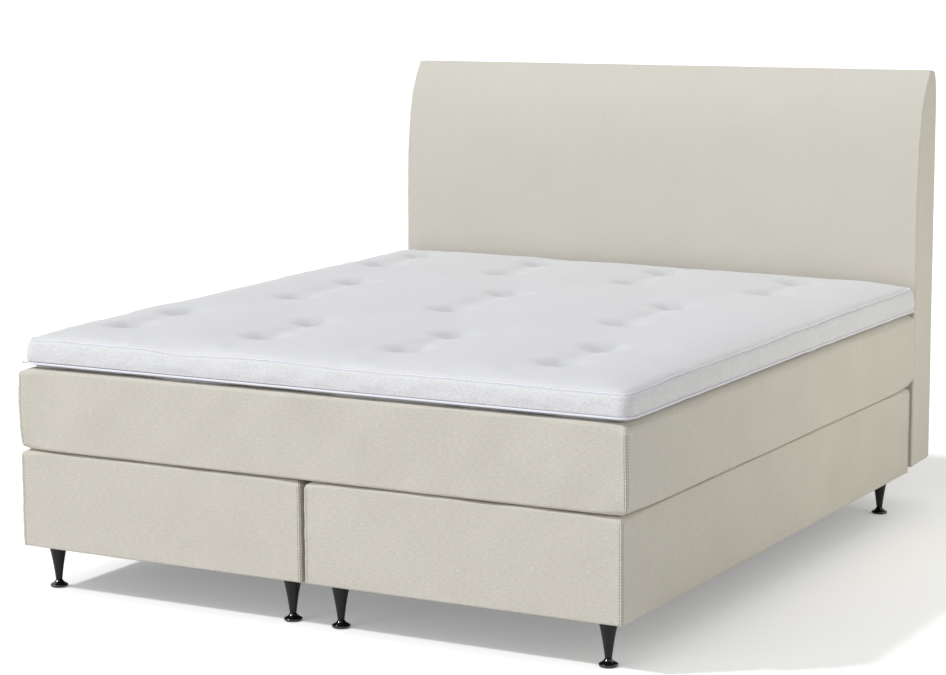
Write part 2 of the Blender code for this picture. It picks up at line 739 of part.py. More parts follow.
def topper_frame():
    """Half width, foot end and head end of the topper."""
    half = BED_WIDTH / 2 - TOPPER_SIDE_INSET
    return half, FOOT_Y + TOPPER_FOOT_INSET, HEAD_Y - TOPPER_HEAD_INSET


def tuft_places():
    """Two rows of four, two staggered rows of three and two rows of four, from foot to head."""
    half, foot, head = topper_frame()
    places = []
    for row, y_share in enumerate(TUFT_ROW_SHARES):
        columns = TUFT_NARROW_SHARES if row in (2, 3) else TUFT_WIDE_SHARES
        y = (foot + head) / 2 + y_share * (head - foot) / 2
        places += [(x_share * half, y) for x_share in columns]
    return places


def topper_shape(share):
    """A crowned, softly filled top that rises to the head end, and a border drawn in at its sides."""
    over = swell(share.x) * swell(share.y)
    puff = min(1, over / TOPPER_PUFF_SHARE)
    lift = TOPPER_HEAD_RISE * share.y + TOPPER_CROWN * over ** TOPPER_FALL_SHARE + TOPPER_PUFF * puff
    step = outward(share, -TOPPER_DRAW * along_side(share)) if share.y > EDGE_SHARE else Vector((0, 0, 0))
    step.z = lift if share.z > 1 - EDGE_SHARE else 0
    if 0 < share.z < 1:
        step.z += TOPPER_HEAD_RISE * share.y * share.z
    return step


def make_topper():
    """A foam core in a knitted, wadded cover with sewn tufts, on a cloth underside."""
    half, foot, head = topper_frame()
    wall = TOPPER_COVER + TOPPER_DRAW
    corner = max(TOPPER_CORNER_RADIUS - wall, FIT)
    low = TOPPER_BOTTOM + TOPPER_HEM
    high = low + FIT + TOPPER_CORE + FIT
    room_foot = foot + ZIP_DEPTH + TOPPER_COVER
    cover = soft_block(
        "topper_cover", (-half, foot, TOPPER_BOTTOM), (half, head, TOPPER_EDGE), (24, 22, 2), TICKING,
        (TOPPER_CORNER_RADIUS, TOPPER_EDGE_RADIUS, TOPPER_UNDER_RADIUS), topper_shape, tuft_places(),
    )
    cut_block(
        cover, "room", (wall - half, room_foot, low), (half - wall, head - wall, high), (corner, 0, 0)
    )
    hem = TOPPER_HEM_WIDTH
    cut_block(
        cover, "underside", (hem - half, room_foot + hem, TOPPER_BOTTOM - OVERRUN),
        (half - hem, head - hem, low + FIT),
    )
    groove_low = TOPPER_BOTTOM + ZIP_HEIGHT
    groove_high = groove_low + ZIP_GROOVE
    end = half - ZIP_END_INSET
    cut_block(
        cover, "zip_groove", (-end, foot - OVERRUN, groove_low), (end, foot + ZIP_DEPTH, groove_high)
    )
    block(
        "topper_underside", (hem - half + FIT, room_foot + hem + FIT, TOPPER_BOTTOM),
        (half - hem - FIT, head - hem - FIT, low), TICKING,
    )
    block(
        "topper_core", (wall + FIT - half, room_foot + FIT, low + FIT),
        (half - wall - FIT, head - wall - FIT, high - FIT), FOAM, radii=(corner, 0, 0),
    )
    make_zip(end, foot + ZIP_DEPTH - FIT, groove_low, groove_high)


def make_zip(end, back, low, high):
    """The tape lies in its groove; the slider runs in front of it, its pull hanging out at the corner."""
    front = back - ZIP_TAPE
    block("zip_tape", (FIT - end, front, low + FIT), (end - FIT, back, high - FIT), TAPE)
    middle = (low + high) / 2
    slider_back = front - FIT
    slider_front = slider_back - ZIP_SLIDER_DEPTH
    start = ZIP_PARK - end
    body_end = start + ZIP_SLIDER_LENGTH
    slider = block(
        "zip_slider", (start, slider_front, middle - ZIP_SLIDER_HEIGHT / 2),
        (body_end, slider_back, middle + ZIP_SLIDER_HEIGHT / 2), ZIP_METAL, edge=ZIP_EDGE,
    )
    pull_end = start + ZIP_SLIDER_LENGTH / 2
    pull = block(
        "zip_slider_pull",
        (pull_end - ZIP_PULL_LENGTH, slider_front - ZIP_PULL_DEPTH / 2, middle - ZIP_PULL_HEIGHT / 2),
        (pull_end, slider_front + ZIP_PULL_DEPTH / 2, middle + ZIP_PULL_HEIGHT / 2),
        ZIP_METAL, edge=ZIP_EDGE, collection=CUTTERS,
    )
    combine(slider, pull, "pull", "UNION")


def headboard_profile(height_share):
    """How far the front is set back and the back set in at this share of the height."""
    below_top = HEADBOARD_HEIGHT * (1 - height_share)
    front = HEADBOARD_SET_BACK * math.exp(-below_top / HEADBOARD_FRONT_FADE)
    back = HEADBOARD_SET_IN * math.exp(-below_top / HEADBOARD_BACK_FADE)
    return front, back


def headboard_form(name, inset, columns, crown, material, collection=BED):
    """The headboard's outer form, or the same form set in by inset on all sides.

    Its rows lie closer together where the top curves back.
    """
    half = HEADBOARD_WIDTH / 2 - inset
    low = (-half, HEADBOARD_FRONT + inset, HEADBOARD_BOTTOM + inset)
    high = (half, HEADBOARD_BACK - inset, HEADBOARD_TOP - inset)
    stations = HEADBOARD_STATION_SHARES
    bm, shares = divided_cube(low, high, (columns, 1, len(stations) - 1))
    height = high[2] - low[2]
    for vertex, share in zip(bm.verts[:], shares):
        station = stations[round(share.z * (len(stations) - 1))]
        front, back = headboard_profile(station)
        vertex.co.z = low[2] + station * height
        full = swell(share.x) * swell(station)
        flat = 1 - min(1, full / HEADBOARD_CROWN_SHARE)
        vertex.co.y += -back if share.y > EDGE_SHARE else front + crown * flat
    round_edges(bm, lambda at, way: True, max(HEADBOARD_EDGE_RADIUS - inset, FIT), 2)
    return object_from(name, bm, material, collection, smooth_angle=SMOOTH_ANGLE)


def make_headboard():
    """Timber frame and front panel, foam over front and top, linen cover and a cloth back."""
    cover_wall = HEADBOARD_COVER + HEADBOARD_CROWN
    cover = headboard_form("headboard_cover", 0, 10, HEADBOARD_CROWN, LINEN)
    room = headboard_form("headboard_cover_room", cover_wall, 1, 0, LINEN, CUTTERS)
    combine(cover, room, "room")
    half = HEADBOARD_WIDTH / 2
    hem = HEADBOARD_BACK_HEM
    back_top = HEADBOARD_TOP - HEADBOARD_BACK_DROP
    cut_block(
        cover, "back_opening", (hem - half, HEADBOARD_BACK - cover_wall - FIT, HEADBOARD_BOTTOM + hem),
        (half - hem, HEADBOARD_BACK + OVERRUN, back_top),
    )
    cloth_back = HEADBOARD_BACK - FIT
    block(
        "headboard_back_cloth", (hem - half + FIT, cloth_back - HEADBOARD_BACK_CLOTH,
        HEADBOARD_BOTTOM + hem + FIT), (half - hem - FIT, cloth_back, back_top - FIT), DUST_CLOTH,
    )

    side = half - cover_wall - HEADBOARD_FRAME_SIDE
    panel_front = HEADBOARD_FRONT + cover_wall + HEADBOARD_FOAM
    frame_front = panel_front + HEADBOARD_PANEL + FIT
    frame_back = HEADBOARD_BACK - cover_wall - FIT
    bottom = HEADBOARD_BOTTOM + cover_wall + FIT
    top = HEADBOARD_TOP - HEADBOARD_FRAME_DROP
    foam = headboard_form("headboard_foam", cover_wall + FIT, 1, 0, FOAM)
    cut_block(
        foam, "frame_room", (-half - OVERRUN, panel_front - FIT, HEADBOARD_BOTTOM - OVERRUN),
        (half + OVERRUN, HEADBOARD_BACK + OVERRUN, top + FIT),
    )
    panel = block(
        "headboard_panel", (-side, panel_front, bottom), (side, panel_front + HEADBOARD_PANEL, top), PLYWOOD
    )
    for label, way in (("left", -1), ("right", 1)):
        low_x, high_x = side_span(way, side - HEADBOARD_POST, side)
        block(
            "headboard_post_" + label, (low_x, frame_front, bottom), (high_x, frame_back, top), TIMBER,
            edge=RAIL_EDGE,
        )
    rail_half = side - HEADBOARD_POST - FIT
    rails = {}
    for label, low, high in (
        ("bottom", bottom, bottom + 2 * HEADBOARD_POST),
        ("top", top - HEADBOARD_POST, top),
    ):
        rails[label] = block(
            "headboard_rail_" + label, (-rail_half, frame_front, low), (rail_half, frame_back, high), TIMBER,
            edge=RAIL_EDGE,
        )
    return [cover, foam, panel, rails["bottom"]]


def hex_bolt(name, length, place, turn):
    """A hex bolt along +Z from the underside of its head, which is at the origin."""
    mesh_parts = bmesh.new()
    bmesh.ops.create_cone(
        mesh_parts, cap_ends=True, segments=6, radius1=BOLT_HEAD_RADIUS, radius2=BOLT_HEAD_RADIUS,
        depth=BOLT_HEAD_HEIGHT, matrix=Matrix.Translation((0, 0, -BOLT_HEAD_HEIGHT / 2)),
    )
    bolt = object_from(name, mesh_parts, STEEL)
    shank_parts = bmesh.new()
    overlap = BOLT_HEAD_HEIGHT / 2
    bmesh.ops.create_cone(
        shank_parts, cap_ends=True, segments=TURNED_STEPS, radius1=BOLT_RADIUS, radius2=BOLT_RADIUS,
        depth=length + overlap, matrix=Matrix.Translation((0, 0, (length - overlap) / 2)),
    )
    shank = object_from(name + "_shank", shank_parts, STEEL, CUTTERS)
    bolt.matrix_world = Matrix.Translation(place) @ turn
    shank.matrix_world = bolt.matrix_world.copy()
    combine(bolt, shank, "shank", "UNION")


def make_brackets(headboard_pieces):
    """Steel angles bolted up into the boxes' head beams and back into the headboard's bottom rail."""
    base_top = BOX_BOTTOM - FIT
    wall_back = HEADBOARD_FRONT - FIT
    wall_front = wall_back - BRACKET_THICKNESS
    base_low = base_top - BRACKET_THICKNESS
    start = HEAD_Y - BRACKET_REACH
    hole = BOLT_RADIUS + BOLT_CLEARANCE
    outline = [
        (start, base_low), (wall_back, base_low), (wall_back, base_low + BRACKET_UPSTAND),
        (wall_front, base_low + BRACKET_UPSTAND), (wall_front, base_top), (start, base_top),
    ]
    upright_turn = Matrix.Identity(4)
    back_turn = Matrix.Rotation(math.radians(-90), 4, "X")
    for label, side in (("left", -1), ("right", 1)):
        x = side * BRACKET_X
        bracket = plate_curve("headboard_bracket_" + label, [outline], BRACKET_WIDTH, STEEL)
        turn = Matrix(((0, 0, 1), (1, 0, 0), (0, 1, 0))).to_4x4()
        bracket.matrix_world = Matrix.Translation((x, 0, 0)) @ turn
        bracket = as_mesh(bracket)
        bore(
            bracket, "box_hole", (x, BOLT_BOX_Y, base_low - OVERRUN), (x, BOLT_BOX_Y, base_top + OVERRUN),
            hole,
        )
        bore(
            bracket, "headboard_hole", (x, wall_front - OVERRUN, BOLT_HEADBOARD_Z),
            (x, wall_back + OVERRUN, BOLT_HEADBOARD_Z), hole,
        )
        hex_bolt(
            "box_bolt_" + label, BOLT_BOX_LENGTH, (x, BOLT_BOX_Y, base_low - FIT), upright_turn
        )
        hex_bolt(
            "headboard_bolt_" + label, BOLT_HEADBOARD_LENGTH, (x, wall_front - FIT, BOLT_HEADBOARD_Z),
            back_turn,
        )
        reach = wall_front + BOLT_HEADBOARD_LENGTH + 2 * FIT
        for piece in headboard_pieces:
            bore(
                piece, "bolt_hole_" + label, (x, wall_front - OVERRUN, BOLT_HEADBOARD_Z),
                (x, reach, BOLT_HEADBOARD_Z), hole,
            )


def moved_aside(make, shift):
    """Make a group of pieces, then move them and their cutters sideways together.

    The mattress with its topper, and the headboard, lie a little to the right of the boxes' middle.
    """
    before = set(bpy.data.objects)
    made = make()
    for item in [item for item in bpy.data.objects if item not in before]:
        item.location.x += shift
    return made


make_legs()
make_glides()
CLOTHS = {side: make_box(side, label) for side, label in ((-1, "left"), (1, "right"))}
make_clips(CLOTHS)
moved_aside(make_mattress, MATTRESS_SHIFT)
moved_aside(make_topper, MATTRESS_SHIFT)
make_brackets(moved_aside(make_headboard, HEADBOARD_SHIFT))
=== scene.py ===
# A sprung box bed, 180 by 200 cm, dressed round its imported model. Metres, +Z up, feet on the floor.
import math

import bmesh
import bpy
import numpy as np
from mathutils import Matrix, Vector


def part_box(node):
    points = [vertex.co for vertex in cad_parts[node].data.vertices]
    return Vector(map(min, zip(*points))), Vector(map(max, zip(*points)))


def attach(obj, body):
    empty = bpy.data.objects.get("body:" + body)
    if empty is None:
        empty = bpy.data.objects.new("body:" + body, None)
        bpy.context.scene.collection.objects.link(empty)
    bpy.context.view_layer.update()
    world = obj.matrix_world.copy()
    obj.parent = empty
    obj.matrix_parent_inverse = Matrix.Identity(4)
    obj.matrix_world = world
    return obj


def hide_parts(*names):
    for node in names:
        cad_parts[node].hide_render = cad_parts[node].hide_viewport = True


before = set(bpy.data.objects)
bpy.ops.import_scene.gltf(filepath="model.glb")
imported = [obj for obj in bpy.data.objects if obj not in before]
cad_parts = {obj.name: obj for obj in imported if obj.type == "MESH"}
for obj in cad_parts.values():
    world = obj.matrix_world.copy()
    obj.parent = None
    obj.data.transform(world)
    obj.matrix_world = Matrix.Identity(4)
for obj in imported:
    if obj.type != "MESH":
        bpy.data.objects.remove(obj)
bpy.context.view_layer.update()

# Camera
# The photograph was taken from beyond the bed's right foot corner, above the height of the
# headboard and looking slightly down, with a long lens.
CAMERA_PLACE = (3.45357, -6.38797, 1.73244)
CAMERA_LENS = 96.93
CAMERA_YAW = 0.50906
CAMERA_PITCH = 0.15449
CAMERA_ROLL = -0.0066573

look = Vector((
    -math.sin(CAMERA_YAW) * math.cos(CAMERA_PITCH),
    math.cos(CAMERA_YAW) * math.cos(CAMERA_PITCH),
    -math.sin(CAMERA_PITCH),
))
level_right = look.cross(Vector((0, 0, 1))).normalized()
level_up = level_right.cross(look)
camera_right = math.cos(CAMERA_ROLL) * level_right + math.sin(CAMERA_ROLL) * level_up
camera_up = math.cos(CAMERA_ROLL) * level_up - math.sin(CAMERA_ROLL) * level_right
camera = bpy.data.objects.new("camera", bpy.data.cameras.new("camera"))
camera.data.lens = CAMERA_LENS
camera.matrix_world = (
    Matrix.Translation(CAMERA_PLACE)
    @ Matrix((camera_right, camera_up, -look)).transposed().to_4x4()
)
bpy.context.scene.collection.objects.link(camera)
bpy.context.scene.camera = camera

# Glides
# Eight moulded black discs, screwed up into the narrow ends of the legs to level the bed.
# Glossy plastic on a threaded steel stud: turned, with the thread cut as fine rings.
GLIDE_SIDES = 56
GLIDE_HEIGHT = 0.020
GLIDE_STUD = 0.032
STUD_RADIUS = 0.0038
THREAD_PITCH = 0.00125
THREAD_DEPTH = 0.00045
THREAD_START = 0.0002
GLIDE_STATIONS = (
    (0.0150, 0.0006), (0.0160, 0.0), (0.0193, 0.0), (0.0215, 0.0006), (0.0232, 0.0017),
    (0.0240, 0.0028), (0.0243, 0.0038), (0.0243, 0.0061), (0.0240, 0.0070), (0.0233, 0.0077),
    (0.0220, 0.0086), (0.0195, 0.0101), (0.0165, 0.0117), (0.0138, 0.0136), (0.0115, 0.0160),
    (0.0100, 0.0182), (0.0091, 0.0194), (0.0084, 0.0199), (0.0078, 0.0200),
)


def turned(name, stations, sides):
    """A turned piece: a ring extruded up through its stations of radius and height, and closed."""
    bpy.ops.object.select_all(action="DESELECT")
    radius, height = stations[0]
    bpy.ops.mesh.primitive_circle_add(
        vertices=sides, radius=radius, location=(0, 0, height), fill_type="NOTHING"
    )
    piece = bpy.context.object
    piece.name = name
    bpy.ops.object.transform_apply(location=True)
    bpy.ops.object.mode_set(mode="EDIT")
    bpy.ops.mesh.select_all(action="SELECT")
    for next_radius, next_height in stations[1:]:
        bpy.ops.mesh.extrude_edges_move(
            TRANSFORM_OT_translate={"value": (0, 0, next_height - height)}
        )
        wider = next_radius / radius
        bpy.ops.transform.resize(value=(wider, wider, 1), center_override=(0, 0, next_height))
        radius, height = next_radius, next_height
    bpy.ops.mesh.select_all(action="SELECT")
    bpy.ops.mesh.fill_holes(sides=0)
    bpy.ops.mesh.normals_make_consistent(inside=False)
    bpy.ops.object.mode_set(mode="OBJECT")
    bpy.ops.object.shade_smooth_by_angle(angle=math.radians(38))
    return piece


def threads(radius, low, high):
    """Stations of a screw thread, as rings one pitch apart."""
    stations = [(radius - THREAD_DEPTH, low)]
    height = low + THREAD_PITCH / 2
    while height < high - THREAD_PITCH:
        stations += [(radius, height), (radius - THREAD_DEPTH, height + THREAD_PITCH / 2)]
        height += THREAD_PITCH
    return stations + [(radius - THREAD_DEPTH, high - THREAD_DEPTH), (radius / 2, high)]


def copied(original, name, shift):
    """A copy with its own mesh, its place in the mesh."""
    twin = original.copy()
    twin.data = original.data.copy()
    twin.name = name
    twin.data.name = name
    twin.data.transform(Matrix.Translation(shift))
    bpy.context.scene.collection.objects.link(twin)
    return twin


def applied(piece, kind, **settings):
    """Give a piece a modifier with these settings, and apply it."""
    modifier = piece.modifiers.new(kind.lower(), kind)
    for name, value in settings.items():
        setattr(modifier, name, value)
    bpy.context.view_layer.objects.active = piece
    bpy.ops.object.modifier_apply(modifier=modifier.name)


def repeated(piece, count, step):
    """Set out a piece in a row, this step apart."""
    applied(
        piece, "ARRAY", count=count, use_relative_offset=False, use_constant_offset=True,
        constant_offset_displace=step,
    )


def node_at(tree, kind, inputs, **settings):
    """Add a shader node. Each input is a value, or another node's output."""
    made = tree.nodes.new("ShaderNode" + kind)
    for name, value in settings.items():
        setattr(made, name, value)
    for name, value in inputs.items():
        if isinstance(value, bpy.types.NodeSocket):
            tree.links.new(value, made.inputs[name])
        else:
            made.inputs[name].default_value = value
    return made


def worked(tree, operation, *values):
    """A Math node's result; each value is a number, or another node's output."""
    return node_at(tree, "Math", dict(enumerate(values)), operation=operation).outputs[0]


def ranged(tree, value, low, high, **ends):
    """A value spread from low to high; ends may be From_Min and From_Max."""
    inputs = {name.replace("_", " "): end for name, end in ends.items()}
    inputs.update({"Value": value, "To Min": low, "To Max": high})
    return node_at(tree, "MapRange", inputs).outputs["Result"]


def where_on(tree, kind="Object"):
    """The place on the surface, in metres."""
    return node_at(tree, "TexCoord", {}).outputs[kind]


def new_material(name, **shader):
    """A material with its Principled shader; names of inputs have _ for a space."""
    material = bpy.data.materials.new(name)
    material.use_nodes = True
    principled = material.node_tree.nodes["Principled BSDF"]
    for key, value in shader.items():
        principled.inputs[key.replace("_", " ")].default_value = value
    return material, material.node_tree, principled


def coloured(tree, principled, colour, rough=None):
    """Wire a colour, and a roughness if it varies, to the Principled shader."""
    tree.links.new(colour, principled.inputs["Base Color"])
    if rough is not None:
        tree.links.new(rough, principled.inputs["Roughness"])


def mixed(tree, factor, first, second, blend="MIX"):
    """The colour between two colours, by a factor that varies over the surface."""
    return node_at(
        tree, "Mix", {0: factor, 6: first, 7: second}, data_type="RGBA", blend_type=blend
    ).outputs[2]


def ramped(tree, factor, *stops):
    """A colour ramp with its stops as (place, grey level or colour)."""
    ramp = node_at(tree, "ValToRGB", {"Fac": factor})
    points = ramp.color_ramp.elements
    while len(points) < len(stops):
        points.new(0.5)
    for point, (place, level) in zip(points, stops):
        point.position = place
        point.color = (*level, 1) if isinstance(level, tuple) else (level, level, level, 1)
    return ramp.outputs["Color"]


def noise(tree, where, scale, detail=3.0, roughness=0.5, stretch=None):
    """Noise of this many waves to the metre, stretched along an axis if asked."""
    if stretch:
        where = node_at(tree, "Mapping", {"Vector": where, "Scale": stretch}).outputs["Vector"]
    inputs = {"Vector": where, "Scale": scale, "Detail": detail, "Roughness": roughness}
    return node_at(tree, "TexNoise", inputs).outputs["Fac"]


def bumped(tree, principled, height, distance, strength=1.0):
    """Raise the surface's finish by this height."""
    inputs = {"Height": height, "Distance": distance, "Strength": strength}
    bump = node_at(tree, "Bump", inputs)
    tree.links.new(bump.outputs["Normal"], principled.inputs["Normal"])


def finish_group(name, *inputs):
    """A node group that gives a finish: its tree, and what comes in, each a name and a kind."""
    tree = bpy.data.node_groups.new(name, "ShaderNodeTree")
    made = (("Color", "Color"), ("Roughness", "Float"), ("Height", "Float"))
    for way, sockets in (("INPUT", inputs), ("OUTPUT", made)):
        for socket, kind in sockets:
            tree.interface.new_socket(socket, in_out=way, socket_type="NodeSocket" + kind)
    return tree, tree.nodes.new("NodeGroupInput").outputs


def close_group(tree, colour, rough, height):
    """Wire the results of a finish group to its output."""
    made = tree.nodes.new("NodeGroupOutput")
    for name, result in (("Color", colour), ("Roughness", rough), ("Height", height)):
        tree.links.new(result, made.inputs[name])
    return tree


def finished(name, group, values, rough, deep, strength, **shader):
    """A material with a finish group: its values, its range of roughness and its relief."""
    material, tree, principled = new_material(name, **shader)
    made = node_at(tree, "Group", values, node_tree=group).outputs
    coloured(tree, principled, made["Color"], ranged(tree, made["Roughness"], *rough))
    bumped(tree, principled, made["Height"], deep, strength)
    return material


def lacquer_wear():
    """Node group: a lacquer's fine unevenness, dust on what faces up, and scuffs."""
    tree, given = finish_group(
        "lacquer_wear", ("Lacquer", "Color"), ("Scuffed", "Color"), ("Amount", "Float")
    )
    where = where_on(tree)
    normal = node_at(tree, "NewGeometry", {}).outputs["Normal"]
    up = node_at(tree, "SeparateXYZ", {"Vector": normal}).outputs["Z"]
    facing_up = ramped(tree, up, (0.35, 0.0), (1.0, 1.0))
    grain = noise(tree, where, 900.0, 2.0)
    cloudy = noise(tree, where, 60.0, 4.0, 0.6)
    scuffs = ramped(tree, noise(tree, where, 240.0, 5.0, 0.75), (0.60, 0.0), (0.72, 1.0))
    worn = worked(tree, "MAXIMUM", worked(tree, "MULTIPLY", facing_up, cloudy), scuffs)
    worn = worked(tree, "MULTIPLY", worn, given["Amount"])
    colour = mixed(tree, worn, given["Lacquer"], given["Scuffed"])
    rough = ranged(tree, worked(tree, "ADD", cloudy, worn), 0.0, 1.0, From_Min=0.2, From_Max=1.2)
    return close_group(tree, colour, rough, grain)


def dressed(piece, body, slot, material, *nodes):
    """Finish a piece: its material, its body, and the plain solids it stands for, which are hidden. The
    slot is not used.
    """
    piece.data.materials.clear()
    piece.data.materials.append(material)
    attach(piece, body)
    if nodes:
        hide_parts(*nodes)
    return piece


LACQUER_WEAR = lacquer_wear()
glide_finish = finished(
    "glide_black", LACQUER_WEAR,
    {"Lacquer": (0.004, 0.004, 0.0042, 1), "Scuffed": (0.020, 0.020, 0.019, 1), "Amount": 0.25},
    (0.12, 0.30), 0.00006, 0.6, Coat_Weight=0.35, Coat_Roughness=0.06,
)
glide_threads = threads(STUD_RADIUS, GLIDE_HEIGHT + THREAD_START, GLIDE_HEIGHT + GLIDE_STUD)
glide = turned("screw_glide", [*GLIDE_STATIONS, *glide_threads], GLIDE_SIDES)
LEG_NAMES = sorted(name[len("glide_"):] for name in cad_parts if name.startswith("glide_"))
leg_places = {}
for name in LEG_NAMES:
    low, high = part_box("glide_" + name)
    leg_places[name] = Vector(((low.x + high.x) / 2, (low.y + high.y) / 2, 0))
    piece = copied(glide, "screw_glide_" + name, leg_places[name])
    dressed(piece, "glide_" + name, "glide_gloss", glide_finish, "glide_" + name)
bpy.data.objects.remove(glide)

# Legs
# Eight slim cones of turned wood in black lacquer, narrow end down, slightly waisted.
# Each has a steel stud that goes up into the box's end beam, and a bore for its glide.
LEG_SIDES = 64
LEG_TOP_RADIUS = 0.0255
LEG_NECK_RADIUS = 0.0088
LEG_WAIST = 0.0016
LEG_RINGS = 15
LEG_RINGS_FROM = 0.012
LEG_RINGS_TO = 0.972
LEG_BORE = 0.0044
LEG_BORE_DEPTH = 0.0326
LEG_BORE_END = ((LEG_BORE * 0.4, 0.0), (LEG_BORE, -0.001))
LEG_FOOT = (
    (LEG_BORE, 0.0006), (LEG_BORE + 0.0006, 0.0), (LEG_NECK_RADIUS - 0.0009, 0.0),
    (LEG_NECK_RADIUS - 0.0003, 0.0003),
)
LEG_SHOULDER = (
    (LEG_TOP_RADIUS, -0.0012), (LEG_TOP_RADIUS - 0.0004, -0.0004), (LEG_TOP_RADIUS - 0.0014, 0.0),
    (STUD_RADIUS + 0.0004, 0.0),
)
LEG_STUD_HIGH = 0.030
LEG_THREAD_START = 0.0006
leg_low, leg_high = (corner.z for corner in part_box("leg_" + LEG_NAMES[0]))
leg_high -= LEG_STUD_HIGH
leg_tall = leg_high - leg_low
leg_stations = [(r, leg_low + LEG_BORE_DEPTH + z) for r, z in LEG_BORE_END]
leg_stations += [(r, leg_low + z) for r, z in LEG_FOOT]
for i in range(LEG_RINGS):
    share = LEG_RINGS_FROM + (LEG_RINGS_TO - LEG_RINGS_FROM) * i / (LEG_RINGS - 1)
    straight = LEG_NECK_RADIUS + (LEG_TOP_RADIUS - LEG_NECK_RADIUS) * share
    leg_stations.append((straight - LEG_WAIST * 4 * share * (1 - share), leg_low + leg_tall * share))
leg_stations += [(r, leg_high + z) for r, z in LEG_SHOULDER]
leg_stations += threads(STUD_RADIUS, leg_high + LEG_THREAD_START, leg_high + LEG_STUD_HIGH)
leg_finish = finished(
    "leg_black", LACQUER_WEAR,
    {"Lacquer": (0.0045, 0.0044, 0.0043, 1), "Scuffed": (0.020, 0.019, 0.018, 1), "Amount": 0.22},
    (0.34, 0.50), 0.00006, 0.6, Specular_IOR_Level=0.28,
)
leg = turned("cone_leg", leg_stations, LEG_SIDES)
for name, place in leg_places.items():
    piece = copied(leg, "cone_leg_" + name, place)
    dressed(piece, "base", "leg_lacquer", leg_finish, "leg_" + name)
bpy.data.objects.remove(leg)

# Box frames and decks
# Each box stands on a frame of planed pine rails and end beams, with a deck of sawn slats.
# The shapes are the model's own; here they get their timber.


def timber(name, pale, dark, grain, grain_length):
    """Softwood: growth lines along one axis, pores, and a slightly darker streak here and there."""
    material, tree, principled = new_material(name, Roughness=0.62)
    where = where_on(tree)
    stretch = tuple(1.0 if axis == grain_length else grain for axis in range(3))
    rings = noise(tree, where, 9.0, 4.0, 0.55, stretch)
    lines = ramped(tree, rings, (0.36, 0.0), (0.50, 0.75), (0.56, 0.15), (0.68, 1.0))
    pores = noise(tree, where, 90.0, 3.0, 0.7, tuple(0.06 if v == 1.0 else 3.0 for v in stretch))
    patches = noise(tree, where, 3.0, 2.0)
    colour = mixed(tree, lines, (*pale, 1), (*dark, 1))
    darker = tuple(v * 0.72 for v in dark)
    colour = mixed(tree, ramped(tree, pores, (0.55, 0.0), (0.75, 0.6)), colour, (*darker, 1))
    colour = mixed(tree, ramped(tree, patches, (0.35, 0.0), (0.75, 0.35)), colour, (*dark, 1))
    coloured(tree, principled, colour, ranged(tree, pores, 0.48, 0.78))
    bumped(tree, principled, pores, 0.0003, 0.7)
    return material


def finish_nodes(material, *starts):
    """Give the model's own nodes whose names start so their finish."""
    for name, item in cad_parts.items():
        if name.startswith(starts):
            for held in item.material_slots:
                held.material = material


PINE = ((0.62, 0.44, 0.26), (0.47, 0.30, 0.15), 14.0)
PINE_PARTS = (
    ("pine_along", 1, "box_rail_"), ("pine_upright", 2, "headboard_post_"),
    ("pine_across", 0, "box_end_beam_", "slat_deck_", "headboard_rail_"),
)
for name, grain_axis, *starts in PINE_PARTS:
    finish_nodes(timber(name, *PINE, grain_axis), *starts)

# Box clips, brackets and bolts
# Two bent strips hold the boxes together, and two angles with hexagon bolts carry the headboard.
# Zinc-plated steel: the model's own shapes, with the plating's fine crystals and darker cloudy patches.
zinc, tree, shader = new_material("zinc_plate", Metallic=1.0)
where = where_on(tree)
crystals = node_at(tree, "TexVoronoi", {"Vector": where, "Scale": 420.0}).outputs["Color"]
crystals = node_at(tree, "RGBToBW", {"Color": crystals}).outputs["Val"]
clouds = noise(tree, where, 45.0, 5.0, 0.65)
colour = mixed(tree, crystals, (0.50, 0.51, 0.53, 1), (0.66, 0.67, 0.68, 1))
colour = mixed(tree, ramped(tree, clouds, (0.50, 0.0), (0.80, 0.55)), colour, (0.38, 0.37, 0.34, 1))
coloured(tree, shader, colour, ranged(tree, clouds, 0.24, 0.52))
bumped(tree, shader, crystals, 0.00008, 0.5)
finish_nodes(zinc, "box_clip_", "box_bolt_", "headboard_bracket_", "headboard_bolt_")

# Pocket springs
# Barrel-shaped coils, each sewn in its own pocket of white non-woven cloth and glued in rows.
# One pocket is turned, then set out in rows over the block's place.
POCKET_SIDES = 14
POCKET_GAP = 0.0006
POCKET_OUTLINE = (
    (0.55, 0.000), (0.86, 0.010), (0.93, 0.060), (0.985, 0.25), (1.0, 0.50), (0.985, 0.75),
    (0.93, 0.94), (0.86, 0.990), (0.55, 1.000),
)
COIL_PITCHES = {"box_springs_left": 0.092, "box_springs_right": 0.092, "mattress_springs": 0.088}

pocket_cloth, tree, shader = new_material("pocket_cloth", Roughness=0.92, Sheen_Weight=0.2)
where = where_on(tree)
bonds = node_at(tree, "TexVoronoi", {"Vector": where, "Scale": 620.0}).outputs["Distance"]
fibres = ramped(tree, noise(tree, where, 350.0, 5.0, 0.7), (0.3, 0.0), (0.75, 1.0))
coloured(tree, shader, mixed(tree, fibres, (0.78, 0.78, 0.76, 1), (0.66, 0.66, 0.645, 1)))
bumped(tree, shader, bonds, 0.0003, 0.8)

for name, pitch in COIL_PITCHES.items():
    low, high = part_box(name)
    columns = int((high.x - low.x) / pitch)
    rows = int((high.y - low.y) / pitch)
    across = (high.x - low.x) / columns
    along = (high.y - low.y) / rows
    widest = min(across, along) / 2 - POCKET_GAP
    outline = [(widest * r, (high.z - low.z) * z) for r, z in POCKET_OUTLINE]
    pocket = turned("pockets_" + name, outline, POCKET_SIDES)
    repeated(pocket, columns, (across, 0, 0))
    repeated(pocket, rows, (0, along, 0))
    pocket.data.transform(Matrix.Translation((low.x + across / 2, low.y + along / 2, low.z)))
    body = "mattress" if name.startswith("mattress") else "base"
    dressed(pocket, body, "spring_pockets", pocket_cloth, name)

